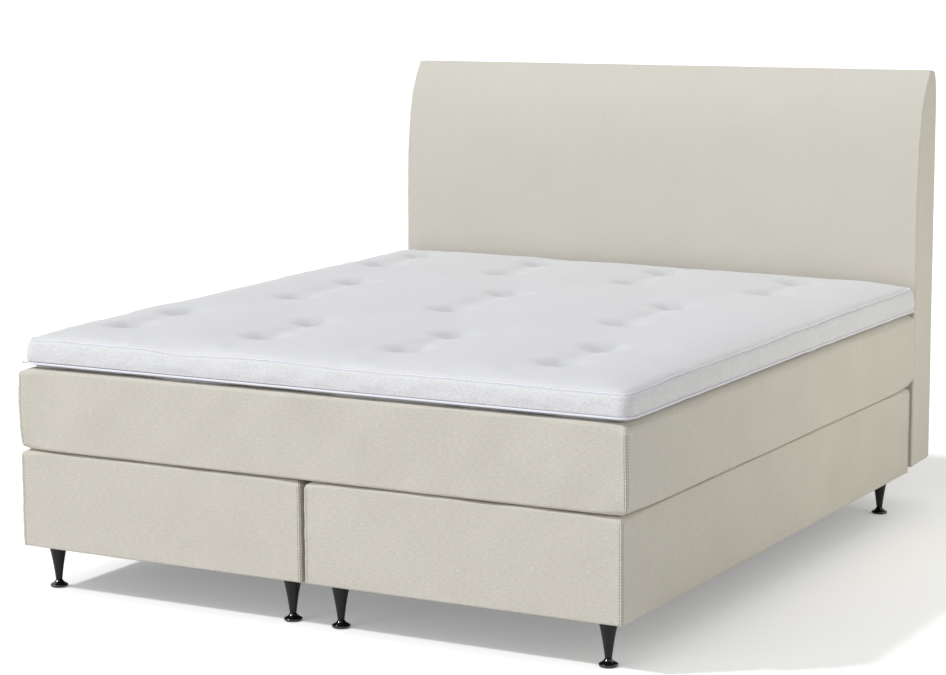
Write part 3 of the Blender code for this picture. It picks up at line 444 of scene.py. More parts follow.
# Foam layers
# Cut slabs of cream polyether foam over and under the springs, in the topper and on the headboard.
# Their edges are a little rounded and their faces lie slightly full.
EDGE_CUTS = (0, 0.002, 0.004, 0.0065, 0.010, 0.016, 0.030, 0.060)
FOAM_DEPTH_CUTS = (0, 0.002, 0.004, 0.0065)
FOAM_STEP = 0.060
FOAM_EDGE = 0.009
FOAM_FULL = 0.0012
FOAM_WAVE = 0.28
FOAM_WAVE_MOST = 1.8
CUTS_AT_ONCE = 101
TINY = 1e-6


def edge_cuts(length, step, close):
    """Cuts along an edge: close together at both ends, even between them."""
    reach = close[-1]
    even = max(2, 2 * round((length - 2 * reach) / step / 2))
    middle = [reach + (length - 2 * reach) * i / even for i in range(1, even)]
    return [*close, *middle, *(length - cut for cut in reversed(close))]


def select_where(piece, kind, wanted):
    """Go into edit mode and select the edges or faces that are wanted."""
    bpy.ops.object.mode_set(mode="EDIT")
    bpy.ops.mesh.select_mode(type=kind)
    bpy.ops.mesh.select_all(action="DESELECT")
    bm = bmesh.from_edit_mesh(piece.data)
    for part in bm.edges if kind == "EDGE" else bm.faces:
        part.select_set(wanted(part))
    bmesh.update_edit_mesh(piece.data)


def take_out(piece, wanted):
    """Delete the faces of a cut block that are wanted."""
    select_where(piece, "FACE", wanted)
    bpy.ops.mesh.delete(type="FACE")
    bpy.ops.object.mode_set(mode="OBJECT")


def cut_block(name, cuts):
    """A block with its low corner at the origin, its edges cut at these places along x, y and z."""
    bpy.ops.object.select_all(action="DESELECT")
    bpy.ops.mesh.primitive_cube_add(size=1, location=(0.5, 0.5, 0.5))
    piece = bpy.context.object
    piece.name = name
    piece.data.name = name
    bpy.ops.object.transform_apply(location=True)
    for axis, places in enumerate(cuts):

        def runs_along(edge):
            way = edge.verts[0].co - edge.verts[1].co
            return abs(way[axis]) > TINY and way.length - abs(way[axis]) < TINY

        left = len(places) - 1
        while left > 1:
            now = left if left <= CUTS_AT_ONCE else 2
            select_where(piece, "EDGE", runs_along)
            bpy.ops.mesh.subdivide(number_cuts=now - 1)
            bpy.ops.object.mode_set(mode="OBJECT")
            left //= now
    at = points_of(piece)
    for axis, places in enumerate(cuts):
        at[:, axis] = np.array(places)[np.rint(at[:, axis] * (len(places) - 1)).astype(int)]
    move_points(piece, at)
    return piece


def points_of(piece):
    at = np.empty(len(piece.data.vertices) * 3)
    piece.data.vertices.foreach_get("co", at)
    return at.reshape(-1, 3)


def move_points(piece, at):
    piece.data.vertices.foreach_set("co", at.ravel())
    piece.data.update()


def soft_form(at, size, side, top, under, square=2.0):
    """Round a cut block's edges.

    side, top and under are the radii of its upright corners, top edge and lower edge (0 for a crisp
    one), each one value or one for each point, and side may be a pair, along x and along y. square
    above 2 keeps the upright corners nearer to square. Gives the points, and the way out at each.
    """
    half = np.array(size) / 2
    centred = at - half
    along_x, along_y = side if isinstance(side, tuple) else (side, side)
    upper = centred[:, 2] > 0
    reach = np.empty((len(at), 3))
    reach[:, 0] = along_x
    reach[:, 1] = along_y
    reach[:, 2] = np.where(upper, top, np.maximum(under, 1e-9))
    core = half - reach
    over = np.sign(centred) * np.maximum(np.abs(centred) - core, 0) / reach
    if np.max(under) == 0:
        over[~upper, 2] = 0
        core[~upper, 2] = half[2]
    plan = (np.abs(over[:, 0]) ** square + np.abs(over[:, 1]) ** square) ** (1 / square)
    length = np.maximum(np.hypot(plan, over[:, 2]), 1e-9)
    largest = np.abs(over).max(axis=1)
    placed = np.clip(centred, -core, core) + over * reach * (largest / length)[:, None] + half
    flat_under = (at[:, 2] < 1e-9) & (np.max(under) == 0)
    facing = np.where(flat_under[:, None], (0.0, 0.0, -1.0), over)
    facing /= np.maximum(np.linalg.norm(facing, axis=1), 1e-9)[:, None]
    return placed, facing


def rumpled(at, length, seed, waves=10):
    """Gentle unevenness: waves of about this length in all directions, one on average in height."""
    draw = np.random.default_rng(seed)
    ways = draw.normal(size=(waves, 3))
    ways *= (math.tau / length * draw.uniform(0.65, 1.4, waves) / np.linalg.norm(ways, axis=1))[:, None]
    return np.sin(at @ ways.T + draw.uniform(0, math.tau, waves)).sum(axis=1) / math.sqrt(waves / 2)


def uneven(at, layers, seed):
    """Unevenness in layers, each a height and a length, drawn from this seed onwards."""
    return sum(height * rumpled(at, length, seed + i) for i, (height, length) in enumerate(layers))


foam, tree, shader = new_material("cut_foam", Roughness=0.95)
where = where_on(tree)
cells = node_at(tree, "TexVoronoi", {"Vector": where, "Scale": 900.0}).outputs["Distance"]
clouds = ramped(tree, noise(tree, where, 5.0, 3.0), (0.35, 0.0), (0.75, 0.3))
colour = mixed(
    tree, ramped(tree, cells, (0.10, 1.0), (0.45, 0.0)), (0.80, 0.77, 0.64, 1), (0.62, 0.58, 0.45, 1)
)
coloured(tree, shader, mixed(tree, clouds, colour, (0.74, 0.66, 0.46, 1)))
bumped(tree, shader, cells, 0.0004, 0.8)

for seed, name in enumerate(sorted(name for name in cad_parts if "foam" in name or "core" in name)):
    if name == "headboard_foam":
        continue
    low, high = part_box(name)
    size = high - low
    piece = cut_block("slab_" + name, [
        edge_cuts(size.x, FOAM_STEP, EDGE_CUTS), edge_cuts(size.y, FOAM_STEP, EDGE_CUTS),
        edge_cuts(size.z, FOAM_STEP, FOAM_DEPTH_CUTS),
    ])
    radius = min(FOAM_EDGE, size.z * 0.45)
    placed, facing = soft_form(points_of(piece), size, FOAM_EDGE * 2, radius, radius)
    waves = np.clip(rumpled(placed, FOAM_WAVE, seed), -FOAM_WAVE_MOST, FOAM_WAVE_MOST)
    out = -FOAM_FULL + FOAM_FULL * 0.5 * waves
    move_points(piece, placed + facing * out[:, None] + np.array(low))
    bpy.ops.object.shade_smooth()
    body = name.split("_")[0] if name.startswith(("mattress", "topper")) else "base"
    dressed(piece, body, "foam", foam, name)

# Dust cloths and undersides
# Non-woven cloths stretched over the open underside of each box, of the mattress and topper, and
# over the headboard's back. Black under the boxes, white under mattress and topper.
CLOTH_THICK = 0.0006
CLOTH_SAG = 0.0009
CLOTH_STEP = 0.05
CLOTH_CUTS = (0, 0.004, 0.010, 0.020, 0.040)
CLOTH_WAVE = 0.30


def spunbond(name, light, dark, rough):
    """Non-woven cloth: matted fibres and a fine grid of bonded dots."""
    material, tree, principled = new_material(name, Roughness=rough, Sheen_Weight=0.15)
    where = where_on(tree)
    fibres = noise(tree, where, 420.0, 6.0, 0.75)
    clouds = noise(tree, where, 22.0, 4.0, 0.6)
    dots = node_at(tree, "TexVoronoi", {"Vector": where, "Scale": 700.0, "Randomness": 0.12})
    colour = mixed(tree, ramped(tree, fibres, (0.3, 0.0), (0.7, 1.0)), (*light, 1), (*dark, 1))
    colour = mixed(tree, ramped(tree, clouds, (0.45, 0.0), (0.8, 0.5)), colour, (*dark, 1))
    coloured(tree, principled, colour)
    bumped(tree, principled, dots.outputs["Distance"], 0.0002, 0.8)
    return material


def stretched_cloth(name, low, high, axis, sag, seed):
    """A thin cloth held at its rim, a little slack between, as thick as cloth and with a finite edge."""
    size = [high[i] - low[i] for i in range(3)]
    size[axis] = CLOTH_THICK
    cuts = [edge_cuts(size[i], CLOTH_STEP, CLOTH_CUTS) for i in range(3)]
    cuts[axis] = [0, CLOTH_THICK]
    piece = cut_block(name, cuts)
    at = points_of(piece)
    others = [i for i in range(3) if i != axis]
    share = np.prod([1 - (2 * at[:, i] / size[i] - 1) ** 8 for i in others], axis=0)
    span = high[axis] - low[axis] - CLOTH_THICK
    wave = np.clip(rumpled(at, CLOTH_WAVE, seed) * 0.22 + 0.5, 0, 1)
    start = low[axis] if sag > 0 else high[axis] - CLOTH_THICK
    at += np.array([low[i] if i != axis else start for i in range(3)])
    at[:, axis] += math.copysign(1, sag) * share * wave * min(abs(sag), span)
    move_points(piece, at)
    bpy.ops.object.shade_smooth_by_angle(angle=math.radians(50))
    return piece


dust_cloth = spunbond("dust_cloth_black", (0.020, 0.020, 0.021), (0.011, 0.011, 0.012), 0.85)
white_cloth = spunbond("underside_cloth", (0.74, 0.74, 0.72), (0.62, 0.62, 0.60), 0.9)
CLOTHS = {
    "dust_cloth_left": ("base", "dust_cloth", dust_cloth, 2, 1),
    "dust_cloth_right": ("base", "dust_cloth", dust_cloth, 2, 1),
    "headboard_back_cloth": ("base", "dust_cloth", dust_cloth, 1, -1),
    "mattress_underside": ("mattress", "spring_pockets", white_cloth, 2, 1),
    "topper_underside": ("topper", "topper_knit", white_cloth, 2, 1),
}
for seed, (name, (body, slot, material, axis, way)) in enumerate(CLOTHS.items()):
    low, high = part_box(name)
    piece = stretched_cloth("stretched_" + name, low, high, axis, way * CLOTH_SAG, seed)
    dressed(piece, body, slot, material, name)

# Box covers
# Two upholstered shells of heathered beige linen weave over wadding, one to each sprung box, sewn
# at the upright corners with a twin row of stitches and turned in under the box by a hem.
SEAM_CUTS = (
    0, 0.0008, 0.0016, 0.0028, 0.0044, 0.0060, 0.0074, 0.0086, 0.0098, 0.0115, 0.015, 0.020, 0.027,
    0.037, 0.047, 0.060,
)
BOX_STEP = 0.027
BOX_ROW = 0.0036
BOX_HEM = 0.020
BOX_EDGE = 0.0055
BOX_EDGE_DEEP = 0.012
BOX_CORNER = 0.019
BOX_CORNER_REACH = (0.050, 0.100)
BOX_SQUARE = 12.0
BOX_UNDER = 0.005
BOX_SWELL = 0.001
EDGE_DROP = 0.0020
EDGE_DROP_REACH = 0.028
BOX_PUCKER_TOP = 0.05
CLOTH_WALL = 0.002
SEAM_SUNK = 0.0034
SEAM_WIDE = 0.0020
SEAM_ALLOWANCE = 0.0015
SEAM_BAND = 0.0094
STITCH_OFF = 0.0074
STITCH_PITCH = 0.0078
STITCH_LONG = 0.0050
STITCH_THICK = 0.0023
STITCH_WIDE = 0.0015
STITCH_SUNK = 0.0022
BOX_DEPTH_CUTS = (0, 0.0010, 0.0022, 0.0038, 0.0058)
BOX_UNEVEN = ((0.00055, 0.21), (0.00022, 0.075))
BOX_STITCHES = (0.006, 0.014)
SEAM_STEEP = 0.0007
PUCKER = 0.00035
PUCKERS = ((0.25, 0.0165, 0.016, 0.5), (0.3, 0.042, 0.045, 0.8))
PUCKER_BY_TOP = 1.6
YARN_APART = 0.0018
YARN = (0.686, 0.660, 0.590), (0.760, 0.737, 0.676), (0.500, 0.472, 0.405)


def linen_weave():
    """Node group: plain linen weave by the metre, with slubs, flecks and faint mottling."""
    tree, given = finish_group(
        "linen_weave", ("Yarn", "Color"), ("Pale", "Color"), ("Deep", "Color"), ("Heather", "Float")
    )
    where = where_on(tree, "UV")
    apart = node_at(tree, "SeparateXYZ", {"Vector": where}).outputs
    loose = worked(tree, "MULTIPLY", noise(tree, where, 260.0, 2.0), 2.4)
    threads_seen = []
    for axis in ("X", "Y"):
        along = worked(tree, "MULTIPLY", apart[axis], math.tau / YARN_APART)
        threads_seen.append(worked(tree, "SINE", worked(tree, "ADD", along, loose)))
    weave = ranged(tree, worked(tree, "MULTIPLY", *threads_seen), 0.0, 1.0, From_Min=-1.0)
    weft = noise(tree, where, 1.0, 3.0, 0.6, (48.0, 330.0, 1.0))
    warp = noise(tree, where, 1.0, 3.0, 0.6, (330.0, 110.0, 1.0))
    flecks = noise(tree, where, 1.0, 2.0, 0.5, (70.0, 300.0, 1.0))
    grain = noise(tree, where, 1.0, 2.0, 0.6, (85.0, 340.0, 1.0))
    mottle = noise(tree, where, 5.0, 4.0, 0.55)
    colour = given["Yarn"]
    for level, first, last, share, tone in (
        (weft, (0.48, 0.0), (0.74, 1.0), 0.85, "Pale"), (warp, (0.50, 0.0), (0.76, 1.0), 0.22, "Deep"),
        (flecks, (0.60, 0.0), (0.70, 1.0), 0.26, "Deep"), (grain, (0.42, 0.0), (0.66, 1.0), 0.42, "Deep"),
        (mottle, (0.35, 0.0), (0.75, 1.0), 0.22, "Deep"), (weave, (0.0, 1.0), (0.45, 0.0), 0.12, "Deep"),
    ):
        part = worked(tree, "MULTIPLY", ramped(tree, level, first, last), share)
        part = worked(tree, "MULTIPLY", part, given["Heather"])
        colour = mixed(tree, part, colour, given[tone])
    height = worked(tree, "ADD", worked(tree, "ADD", weft, warp), weave)
    return close_group(tree, colour, weft, height)


def linen(name, yarn, pale, deep, heather):
    """Upholstery linen: a matt cloth with a soft sheen towards its edges."""
    tones = {"Yarn": (*yarn, 1), "Pale": (*pale, 1), "Deep": (*deep, 1), "Heather": heather}
    return finished(
        name, LINEN_WEAVE, tones, (0.80, 0.95), 0.00028, 0.55,
        Sheen_Weight=0.12, Sheen_Roughness=0.5, Specular_IOR_Level=0.25,
    )


def cloth_map(piece, turn=0.0):
    """Lay the cloth on a cut block: its own map in metres, from the face that each side looks to."""
    mesh = piece.data
    layer = mesh.uv_layers.active
    layer.name = "cloth"
    at = points_of(piece)
    corners = np.empty(len(mesh.loops), dtype=np.int64)
    mesh.loops.foreach_get("vertex_index", corners)
    ways = np.empty(len(mesh.polygons) * 3)
    mesh.polygons.foreach_get("normal", ways)
    counts = np.empty(len(mesh.polygons), dtype=np.int64)
    mesh.polygons.foreach_get("loop_total", counts)
    facing = np.repeat(np.abs(ways.reshape(-1, 3)).argmax(axis=1), counts)
    place = at[corners]
    across = np.where(facing == 0, place[:, 1], place[:, 0])
    up = np.where(facing == 2, place[:, 1], place[:, 2])
    both = np.stack([across + turn, up + turn + facing * 0.37], axis=1)
    layer.data.foreach_set("uv", both.ravel())


def keep_hem(piece, size, hem):
    """Open the underside of a cut block, all but a hem this wide."""

    def within(face):
        middle = face.calc_center_median()
        inside = hem < middle.x < size[0] - hem and hem < middle.y < size[1] - hem
        return inside and abs(middle.z) < TINY

    take_out(piece, within)


def walled(piece, **settings):
    """Give a cloth shell its thickness, inwards."""
    applied(piece, "SOLIDIFY", thickness=CLOTH_WALL, offset=-1, **settings)
    bpy.ops.object.shade_smooth()


def corner_seams(flat, placed, size, seed, pucker, top_fade):
    """How far the cloth stands out or in by its sewn upright corners, for points on the sides.

    A groove in the middle, the turned allowances beside it, and puckers that fade away from it.
    """
    edge_x, edge_y = from_sides(flat, size)
    away = np.maximum(edge_x, edge_y)
    side = np.minimum(edge_x, edge_y) < TINY
    near_top = np.clip((flat[:, 2] - size[2] + top_fade) / top_fade, 0, 1)
    groove = -SEAM_SUNK * np.exp(-((away / SEAM_WIDE) ** 2))
    ridge = SEAM_ALLOWANCE / (1 + np.exp(np.minimum((away - SEAM_BAND) / SEAM_STEEP, 60)))
    pull = -STITCH_SUNK * np.exp(-(((away - STITCH_OFF) / STITCH_WIDE) ** 2))
    folds = pucker * sum(
        rumpled(placed * (level, level, 1), length, seed + i) * np.exp(-away / fade) * share
        for i, (level, length, fade, share) in enumerate(PUCKERS)
    ) * (1 + PUCKER_BY_TOP * near_top ** 2)
    return np.where(side, groove + ridge + pull + folds, 0)


def sewn_row(name, stitch, starts, ends):
    """Copies of one stitch, each laid from its start to its end, as one piece."""
    middle = (starts + ends) / 2
    way = ends - starts
    long = np.linalg.norm(way, axis=1)[:, None]
    way = way / long
    aside = np.cross(way, (0.31, 0.27, 0.11))
    aside /= np.linalg.norm(aside, axis=1)[:, None]
    third = np.cross(way, aside)
    model = points_of(stitch)
    at = (
        middle[:, None]
        + way[:, None] * (model[:, 0, None] * long[:, None])
        + aside[:, None] * (model[:, 1, None] * STITCH_THICK)
        + third[:, None] * (model[:, 2, None] * STITCH_THICK)
    )
    faces = [tuple(face.vertices) for face in stitch.data.polygons]
    count = len(model)
    mesh = bpy.data.meshes.new(name)
    mesh.from_pydata(
        at.reshape(-1, 3).tolist(), [],
        [tuple(v + count * i for v in face) for i in range(len(at)) for face in faces],
    )
    row = bpy.data.objects.new(name, mesh)
    bpy.context.scene.collection.objects.link(row)
    for face in mesh.polygons:
        face.use_smooth = True
    return row


def corner_stitches(size, low_z, high_z):
    """Flat places where the twin rows by the upright corners start and end."""
    starts, ends = [], []
    heights = np.arange(low_z, high_z, STITCH_PITCH)
    for x, y in ((0, 0), (1, 0), (0, 1), (1, 1)):
        off_x = x * size[0] + (1 - 2 * x) * STITCH_OFF
        off_y = y * size[1] + (1 - 2 * y) * STITCH_OFF
        for place in ((x * size[0], off_y), (off_x, y * size[1])):
            for z in heights:
                starts.append((*place, z))
                ends.append((*place, z + STITCH_LONG))
    return np.array(starts), np.array(ends)


def from_sides(flat, size):
    """Each point's distance from the nearer side along x and along y."""
    return (
        np.minimum(flat[:, 0], size[0] - flat[:, 0]), np.minimum(flat[:, 1], size[1] - flat[:, 1])
    )


def near_corner(flat, size, reach):
    """1 at an upright corner, fading away from it over this reach along x and along y."""
    edge_x, edge_y = from_sides(flat, size)
    return np.exp(-((edge_x / reach[0]) ** 2) - (edge_y / reach[1]) ** 2)


def edge_drop(flat, size):
    """How much the padding falls away towards its rim, where mattress and box lie on each other."""
    return EDGE_DROP * np.exp(-((np.minimum(*from_sides(flat, size)) / EDGE_DROP_REACH) ** 2))


def sewn_cover(name, node, body, slot, material, seed, turn, form, hem, depth_cuts, stitches):
    """A sewn linen shell round one of the model's covers, and the stitches at its upright corners."""
    low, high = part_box(node)
    size = high - low
    cover = cut_block("linen_" + name, [
        edge_cuts(size.x, BOX_STEP, SEAM_CUTS), edge_cuts(size.y, BOX_STEP, SEAM_CUTS),
        edge_cuts(size.z, BOX_ROW, depth_cuts),
    ])
    keep_hem(cover, size, hem)
    cloth_map(cover, turn)
    move_points(cover, form(points_of(cover), size, seed) + np.array(low))
    walled(cover)
    dressed(cover, body, slot, material, node)
    starts, ends = corner_stitches(size, stitches[0], size.z - stitches[1])
    starts, ends = (form(places, size, seed) + np.array(low) for places in (starts, ends))
    return sewn_row(node.replace("cover", "seam"), stitch_model, starts, ends)


def box_form(flat, size, seed):
    """A padded box side: a little swell, soft unevenness, drawn-in corners."""
    near = near_corner(flat, size, BOX_CORNER_REACH)
    edge = BOX_EDGE + (BOX_CORNER - BOX_EDGE) * near
    deep = BOX_EDGE_DEEP + (BOX_CORNER - BOX_EDGE_DEEP) * near
    placed, facing = soft_form(flat, size, deep, edge, BOX_UNDER, BOX_SQUARE)
    share = flat[:, 2] / size[2]
    side = np.abs(facing * (1, 1, 0)).max(axis=1)
    soft = uneven(placed, BOX_UNEVEN, seed)
    seams = corner_seams(flat, placed, size, seed + 2, PUCKER, BOX_PUCKER_TOP)
    out = BOX_SWELL * (4 * share * (1 - share) - 1) * side + seams
    out += soft * np.clip(share * 12, 0.15, 1) * np.where(facing[:, 2] < -0.5, 0.1, 1)
    moved = placed + facing * out[:, None]
    moved[:, 2] -= edge_drop(flat, size) * np.clip(share * 10 - 9, 0, 1)
    return moved


LINEN_WEAVE = linen_weave()
box_linen = linen("box_linen", *YARN, 1.0)
seam_thread, tree, shader = new_material("seam_thread", Roughness=0.75, Sheen_Weight=0.2)
twist = noise(tree, where_on(tree), 1500.0, 3.0)
coloured(tree, shader, mixed(tree, twist, (0.12, 0.11, 0.09, 1), (0.22, 0.20, 0.165, 1)))
bumped(tree, shader, twist, 0.0001, 0.6)

bpy.ops.object.select_all(action="DESELECT")
bpy.ops.mesh.primitive_uv_sphere_add(segments=6, ring_count=5, radius=0.5)
stitch_model = bpy.context.object
stitch_model.name = "stitch_model"
bpy.ops.object.mode_set(mode="EDIT")
bpy.ops.mesh.select_all(action="SELECT")
bpy.ops.transform.rotate(value=math.pi / 2, orient_axis="Y", center_override=(0, 0, 0))
bpy.ops.object.mode_set(mode="OBJECT")

for side, seed in (("left", 11), ("right", 23)):
    seam = sewn_cover(
        "box_" + side, "box_cover_" + side, "base", "box_linen", box_linen, seed, seed, box_form,
        BOX_HEM, BOX_DEPTH_CUTS, BOX_STITCHES,
    )
    dressed(seam, "base", "box_linen", seam_thread)

# Mattress cover
# One shell of the same linen over a deep wadded border: fuller at half height, drawn in between
# its corners, with near-square sewn corners that wander a little and puckered cloth beside them.
MATTRESS_HEM = 0.045
MATTRESS_EDGE = 0.008
MATTRESS_EDGE_DEEP = 0.012
MATTRESS_UNDER = 0.0055
MATTRESS_ROLL = 0.024
MATTRESS_CORNER_WIDE = (0.026, 0.032)
MATTRESS_CORNER_TALL = 0.021
MATTRESS_HEAD_WIDE = 0.030
MATTRESS_HEAD_TALL = 0.048
MATTRESS_CORNER_REACH = (0.055, 0.120)
MATTRESS_TURN = 0.06
MATTRESS_SQUARE = 8.0
MATTRESS_SWELL = 0.004
MATTRESS_DRAW = 0.003
MATTRESS_PUCKER = 0.0006
MATTRESS_PUCKER_TOP = 0.06
MATTRESS_UNEVEN = ((0.0009, 0.26), (0.0004, 0.085))
MATTRESS_DEPTH_CUTS = (0, 0.0012, 0.0026, 0.0044)
MATTRESS_STITCHES = (0.022, 0.026)
SEAM_WANDER = 0.0009
SEAM_WANDER_LONG = 0.11
SEAM_WANDER_REACH = 0.02


def mattress_form(flat, size, seed):
    """A full border with a barrel to it, crisp along the foot and rolled over along the sides."""
    share = flat / np.array(size)
    upper = np.clip(share[:, 2] * 1.4 - 0.2, 0, 1)
    edge_x, edge_y = from_sides(flat, size)
    near = near_corner(flat, size, MATTRESS_CORNER_REACH)
    by_side = np.clip((edge_y - edge_x) / MATTRESS_TURN + 0.5, 0, 1)
    by_head = np.exp(-(((size[1] - flat[:, 1]) / MATTRESS_TURN) ** 2))
    low_wide, high_wide = MATTRESS_CORNER_WIDE
    rolled = MATTRESS_EDGE + (MATTRESS_ROLL - MATTRESS_EDGE) * by_side
    wide = MATTRESS_EDGE_DEEP + (MATTRESS_ROLL - MATTRESS_EDGE_DEEP) * by_side * upper
    wide += (low_wide + (high_wide - low_wide) * upper - wide) * near
    deep = MATTRESS_EDGE_DEEP + (MATTRESS_CORNER_TALL - MATTRESS_EDGE_DEEP) * near
    deep += (MATTRESS_HEAD_WIDE - deep) * by_head * (1 - upper)
    tall = rolled + (MATTRESS_CORNER_TALL - rolled) * near
    under = MATTRESS_UNDER + (MATTRESS_CORNER_TALL - MATTRESS_UNDER) * near
    under += (MATTRESS_HEAD_TALL - under) * by_head
    placed, facing = soft_form(flat, size, (wide, deep), tall, under, MATTRESS_SQUARE)
    swell = 4 * share * (1 - share)
    side = np.abs(facing * (1, 1, 0)).max(axis=1)
    along = np.where(edge_x < TINY, swell[:, 1], swell[:, 0])
    out = (MATTRESS_SWELL * (swell[:, 2] - 1) - MATTRESS_DRAW * along * swell[:, 2]) * side
    out += corner_seams(flat, placed, size, seed + 2, MATTRESS_PUCKER, MATTRESS_PUCKER_TOP)
    held = np.where(facing[:, 2] < -0.5, 0.1, 1) * np.where(facing[:, 2] > 0.5, 0.3, 1)
    out += uneven(placed, MATTRESS_UNEVEN, seed) * held
    moved = placed + facing * out[:, None]
    moved[:, 2] += edge_drop(flat, size) * np.clip(1 - share[:, 2] * 10, 0, 1)
    sway = SEAM_WANDER * rumpled(flat * (0, 0, 1), SEAM_WANDER_LONG, seed + 5)
    moved[:, 0] += sway * np.exp(-((np.maximum(edge_x, edge_y) / SEAM_WANDER_REACH) ** 2)) * side
    return moved


mattress_linen = linen("mattress_linen", *YARN, 1.0)
seam = sewn_cover(
    "mattress", "mattress_cover", "mattress", "mattress_linen", mattress_linen, 41, 0, mattress_form,
    MATTRESS_HEM, MATTRESS_DEPTH_CUTS, MATTRESS_STITCHES,
)
dressed(seam, "mattress", "mattress_linen", seam_thread)

# Topper cover
# A knitted white cover on a foam core, tied down by rows of tufts: the filling swells between them
# and pulls folds towards each tie. Its border is softly rounded, with a zip low in the foot side.
TOPPER_BORDER = 0.070
TOPPER_CORNER = 0.031
TOPPER_SQUARE = 2.2
TOPPER_EDGE = 0.007
TOPPER_UNDER = 0.014
TOPPER_HEM = 0.023
TOPPER_ASIDE = 0.005
TOPPER_CELL = 0.010
TOPPER_CUTS = (0, 0.003, 0.006, 0.009, 0.013, 0.0175, 0.0205, 0.0235, 0.027, 0.032, 0.040, 0.050)
TOPPER_BULGE = 0.0085
TOPPER_TUCK = 0.0125
TOPPER_TUCK_STEEP = 9
TOPPER_DRAW = 0.004
TOPPER_UNEVEN = ((0.0011, 0.125), (0.0005, 0.05))
TOPPER_CREASE = (0.0008, 0.030)
EDGE_UNEVEN = ((0.0013, 0.27), (0.0006, 0.11))
EDGE_UNEVEN_REACH = 0.09
HEAD_RISE = 0.020
HEAD_TILT = 0.45
LEFT_RISE = 0.009
CROWN = 0.009
PUFF = 0.017
PUFF_REACH = 0.042
TUFT_SUNK = 0.007
TUFT_SPREAD = 0.044
TUFT_ROWS = (-0.78, -0.53, -0.158, 0.179, 0.55, 0.80)
TUFTS_WIDE = (-0.785, -0.295, 0.190, 0.680)
TUFTS_NARROW = (-0.635, -0.060, 0.535)
CONE_FILLED = 0.030
CONE_WIDE = 0.068
BOWL_DEEP = 0.024
BOWL_WIDE = 0.061
BOWL_STEEP = 2.6
VALLEY_DEEP = 0.006
VALLEY_WIDE = 0.034
FOLD_DEEP = 0.0011
FOLD_WIDE = 0.021
FOLDS = 6
# How far cloth lying flat is painted towards the darker colour: painted shade, so the top reads darker than
# the border.
LYING_PAINTED_SHADE = 0.95
# How much darker the tuft bowls are painted: painted shade.
HOLLOW_PAINTED_SHADE = 0.09
PANEL_CELL = 0.0185
PANEL_FRAMES = 26
PANEL_CAP = 0.040
PANEL_CLOTH = {
    "quality": 6, "mass": 0.3, "tension_stiffness": 20, "compression_stiffness": 20,
    "shear_stiffness": 12, "bending_stiffness": 6, "tension_damping": 20, "compression_damping": 20,
    "shear_damping": 20, "bending_damping": 2, "air_damping": 4, "shrink_min": -0.0040,
    "use_pressure": True, "uniform_pressure_force": 3, "pin_stiffness": 1,
}
ZIP_BACK = 0.006
ZIP_ENDS = 0.020
ZIP_CALM = (0.006, 0.014)
ZIP_CALM_PAST = 0.012
ZIP_WALL = 0.15
ZIP_ROWS = (
    (-0.0064, 0.0), (-0.0040, 0.0), (-0.0017, 0.01), (-0.0007, 0.05), (-0.0004, 0.12),
    (-0.0008, 0.20), (-0.0046, 0.24), (-0.0049, 1.0), (0.0049, 1.0), (0.0046, 0.24),
    (0.0008, 0.20), (0.0004, 0.12), (0.0007, 0.05), (0.0017, 0.01), (0.0040, 0.0), (0.0064, 0.0),
)

low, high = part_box("topper_cover")
tape_low, tape_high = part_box("zip_tape")
size = Vector((high.x - low.x, high.y - low.y, TOPPER_BORDER))
zip_height = (tape_low.z + tape_high.z) / 2 - low.z
low.x += TOPPER_ASIDE
tufts = [
    (size.x / 2 * (1 + x), size.y / 2 * (1 + y))
    for row, y in enumerate(TUFT_ROWS)
    for x in (TUFTS_NARROW if row in (2, 3) else TUFTS_WIDE)
]
tuft_pairs = [(tufts[i], tufts[i + 4]) for i in (0, 1, 2, 3, 14, 15, 16, 17)]
tuft_pairs += [(tufts[i], tufts[i + 3]) for i in (8, 9, 10)]


def away_from(at, tuft):
    """Each point's distance from a tuft."""
    return np.hypot(at[:, 0] - tuft[0], at[:, 1] - tuft[1])


def plain_rise(at):
    """The top's plain form: crowned, full up to its edges, sunk at each tuft."""
    over = np.prod([
        np.maximum(4 * at[:, i] / size[i] * (1 - at[:, i] / size[i]), 0) for i in (0, 1)
    ], axis=0)
    sunk = np.max([np.exp(-((away_from(at, tuft) / TUFT_SPREAD) ** 2)) for tuft in tufts], axis=0)
    eased = [1 - np.exp(-edge / PUFF_REACH) for edge in from_sides(at, size)]
    full = CROWN * over ** 0.35 + PUFF * eased[0] * eased[1]
    return full * (1 - sunk) - TUFT_SUNK * sunk


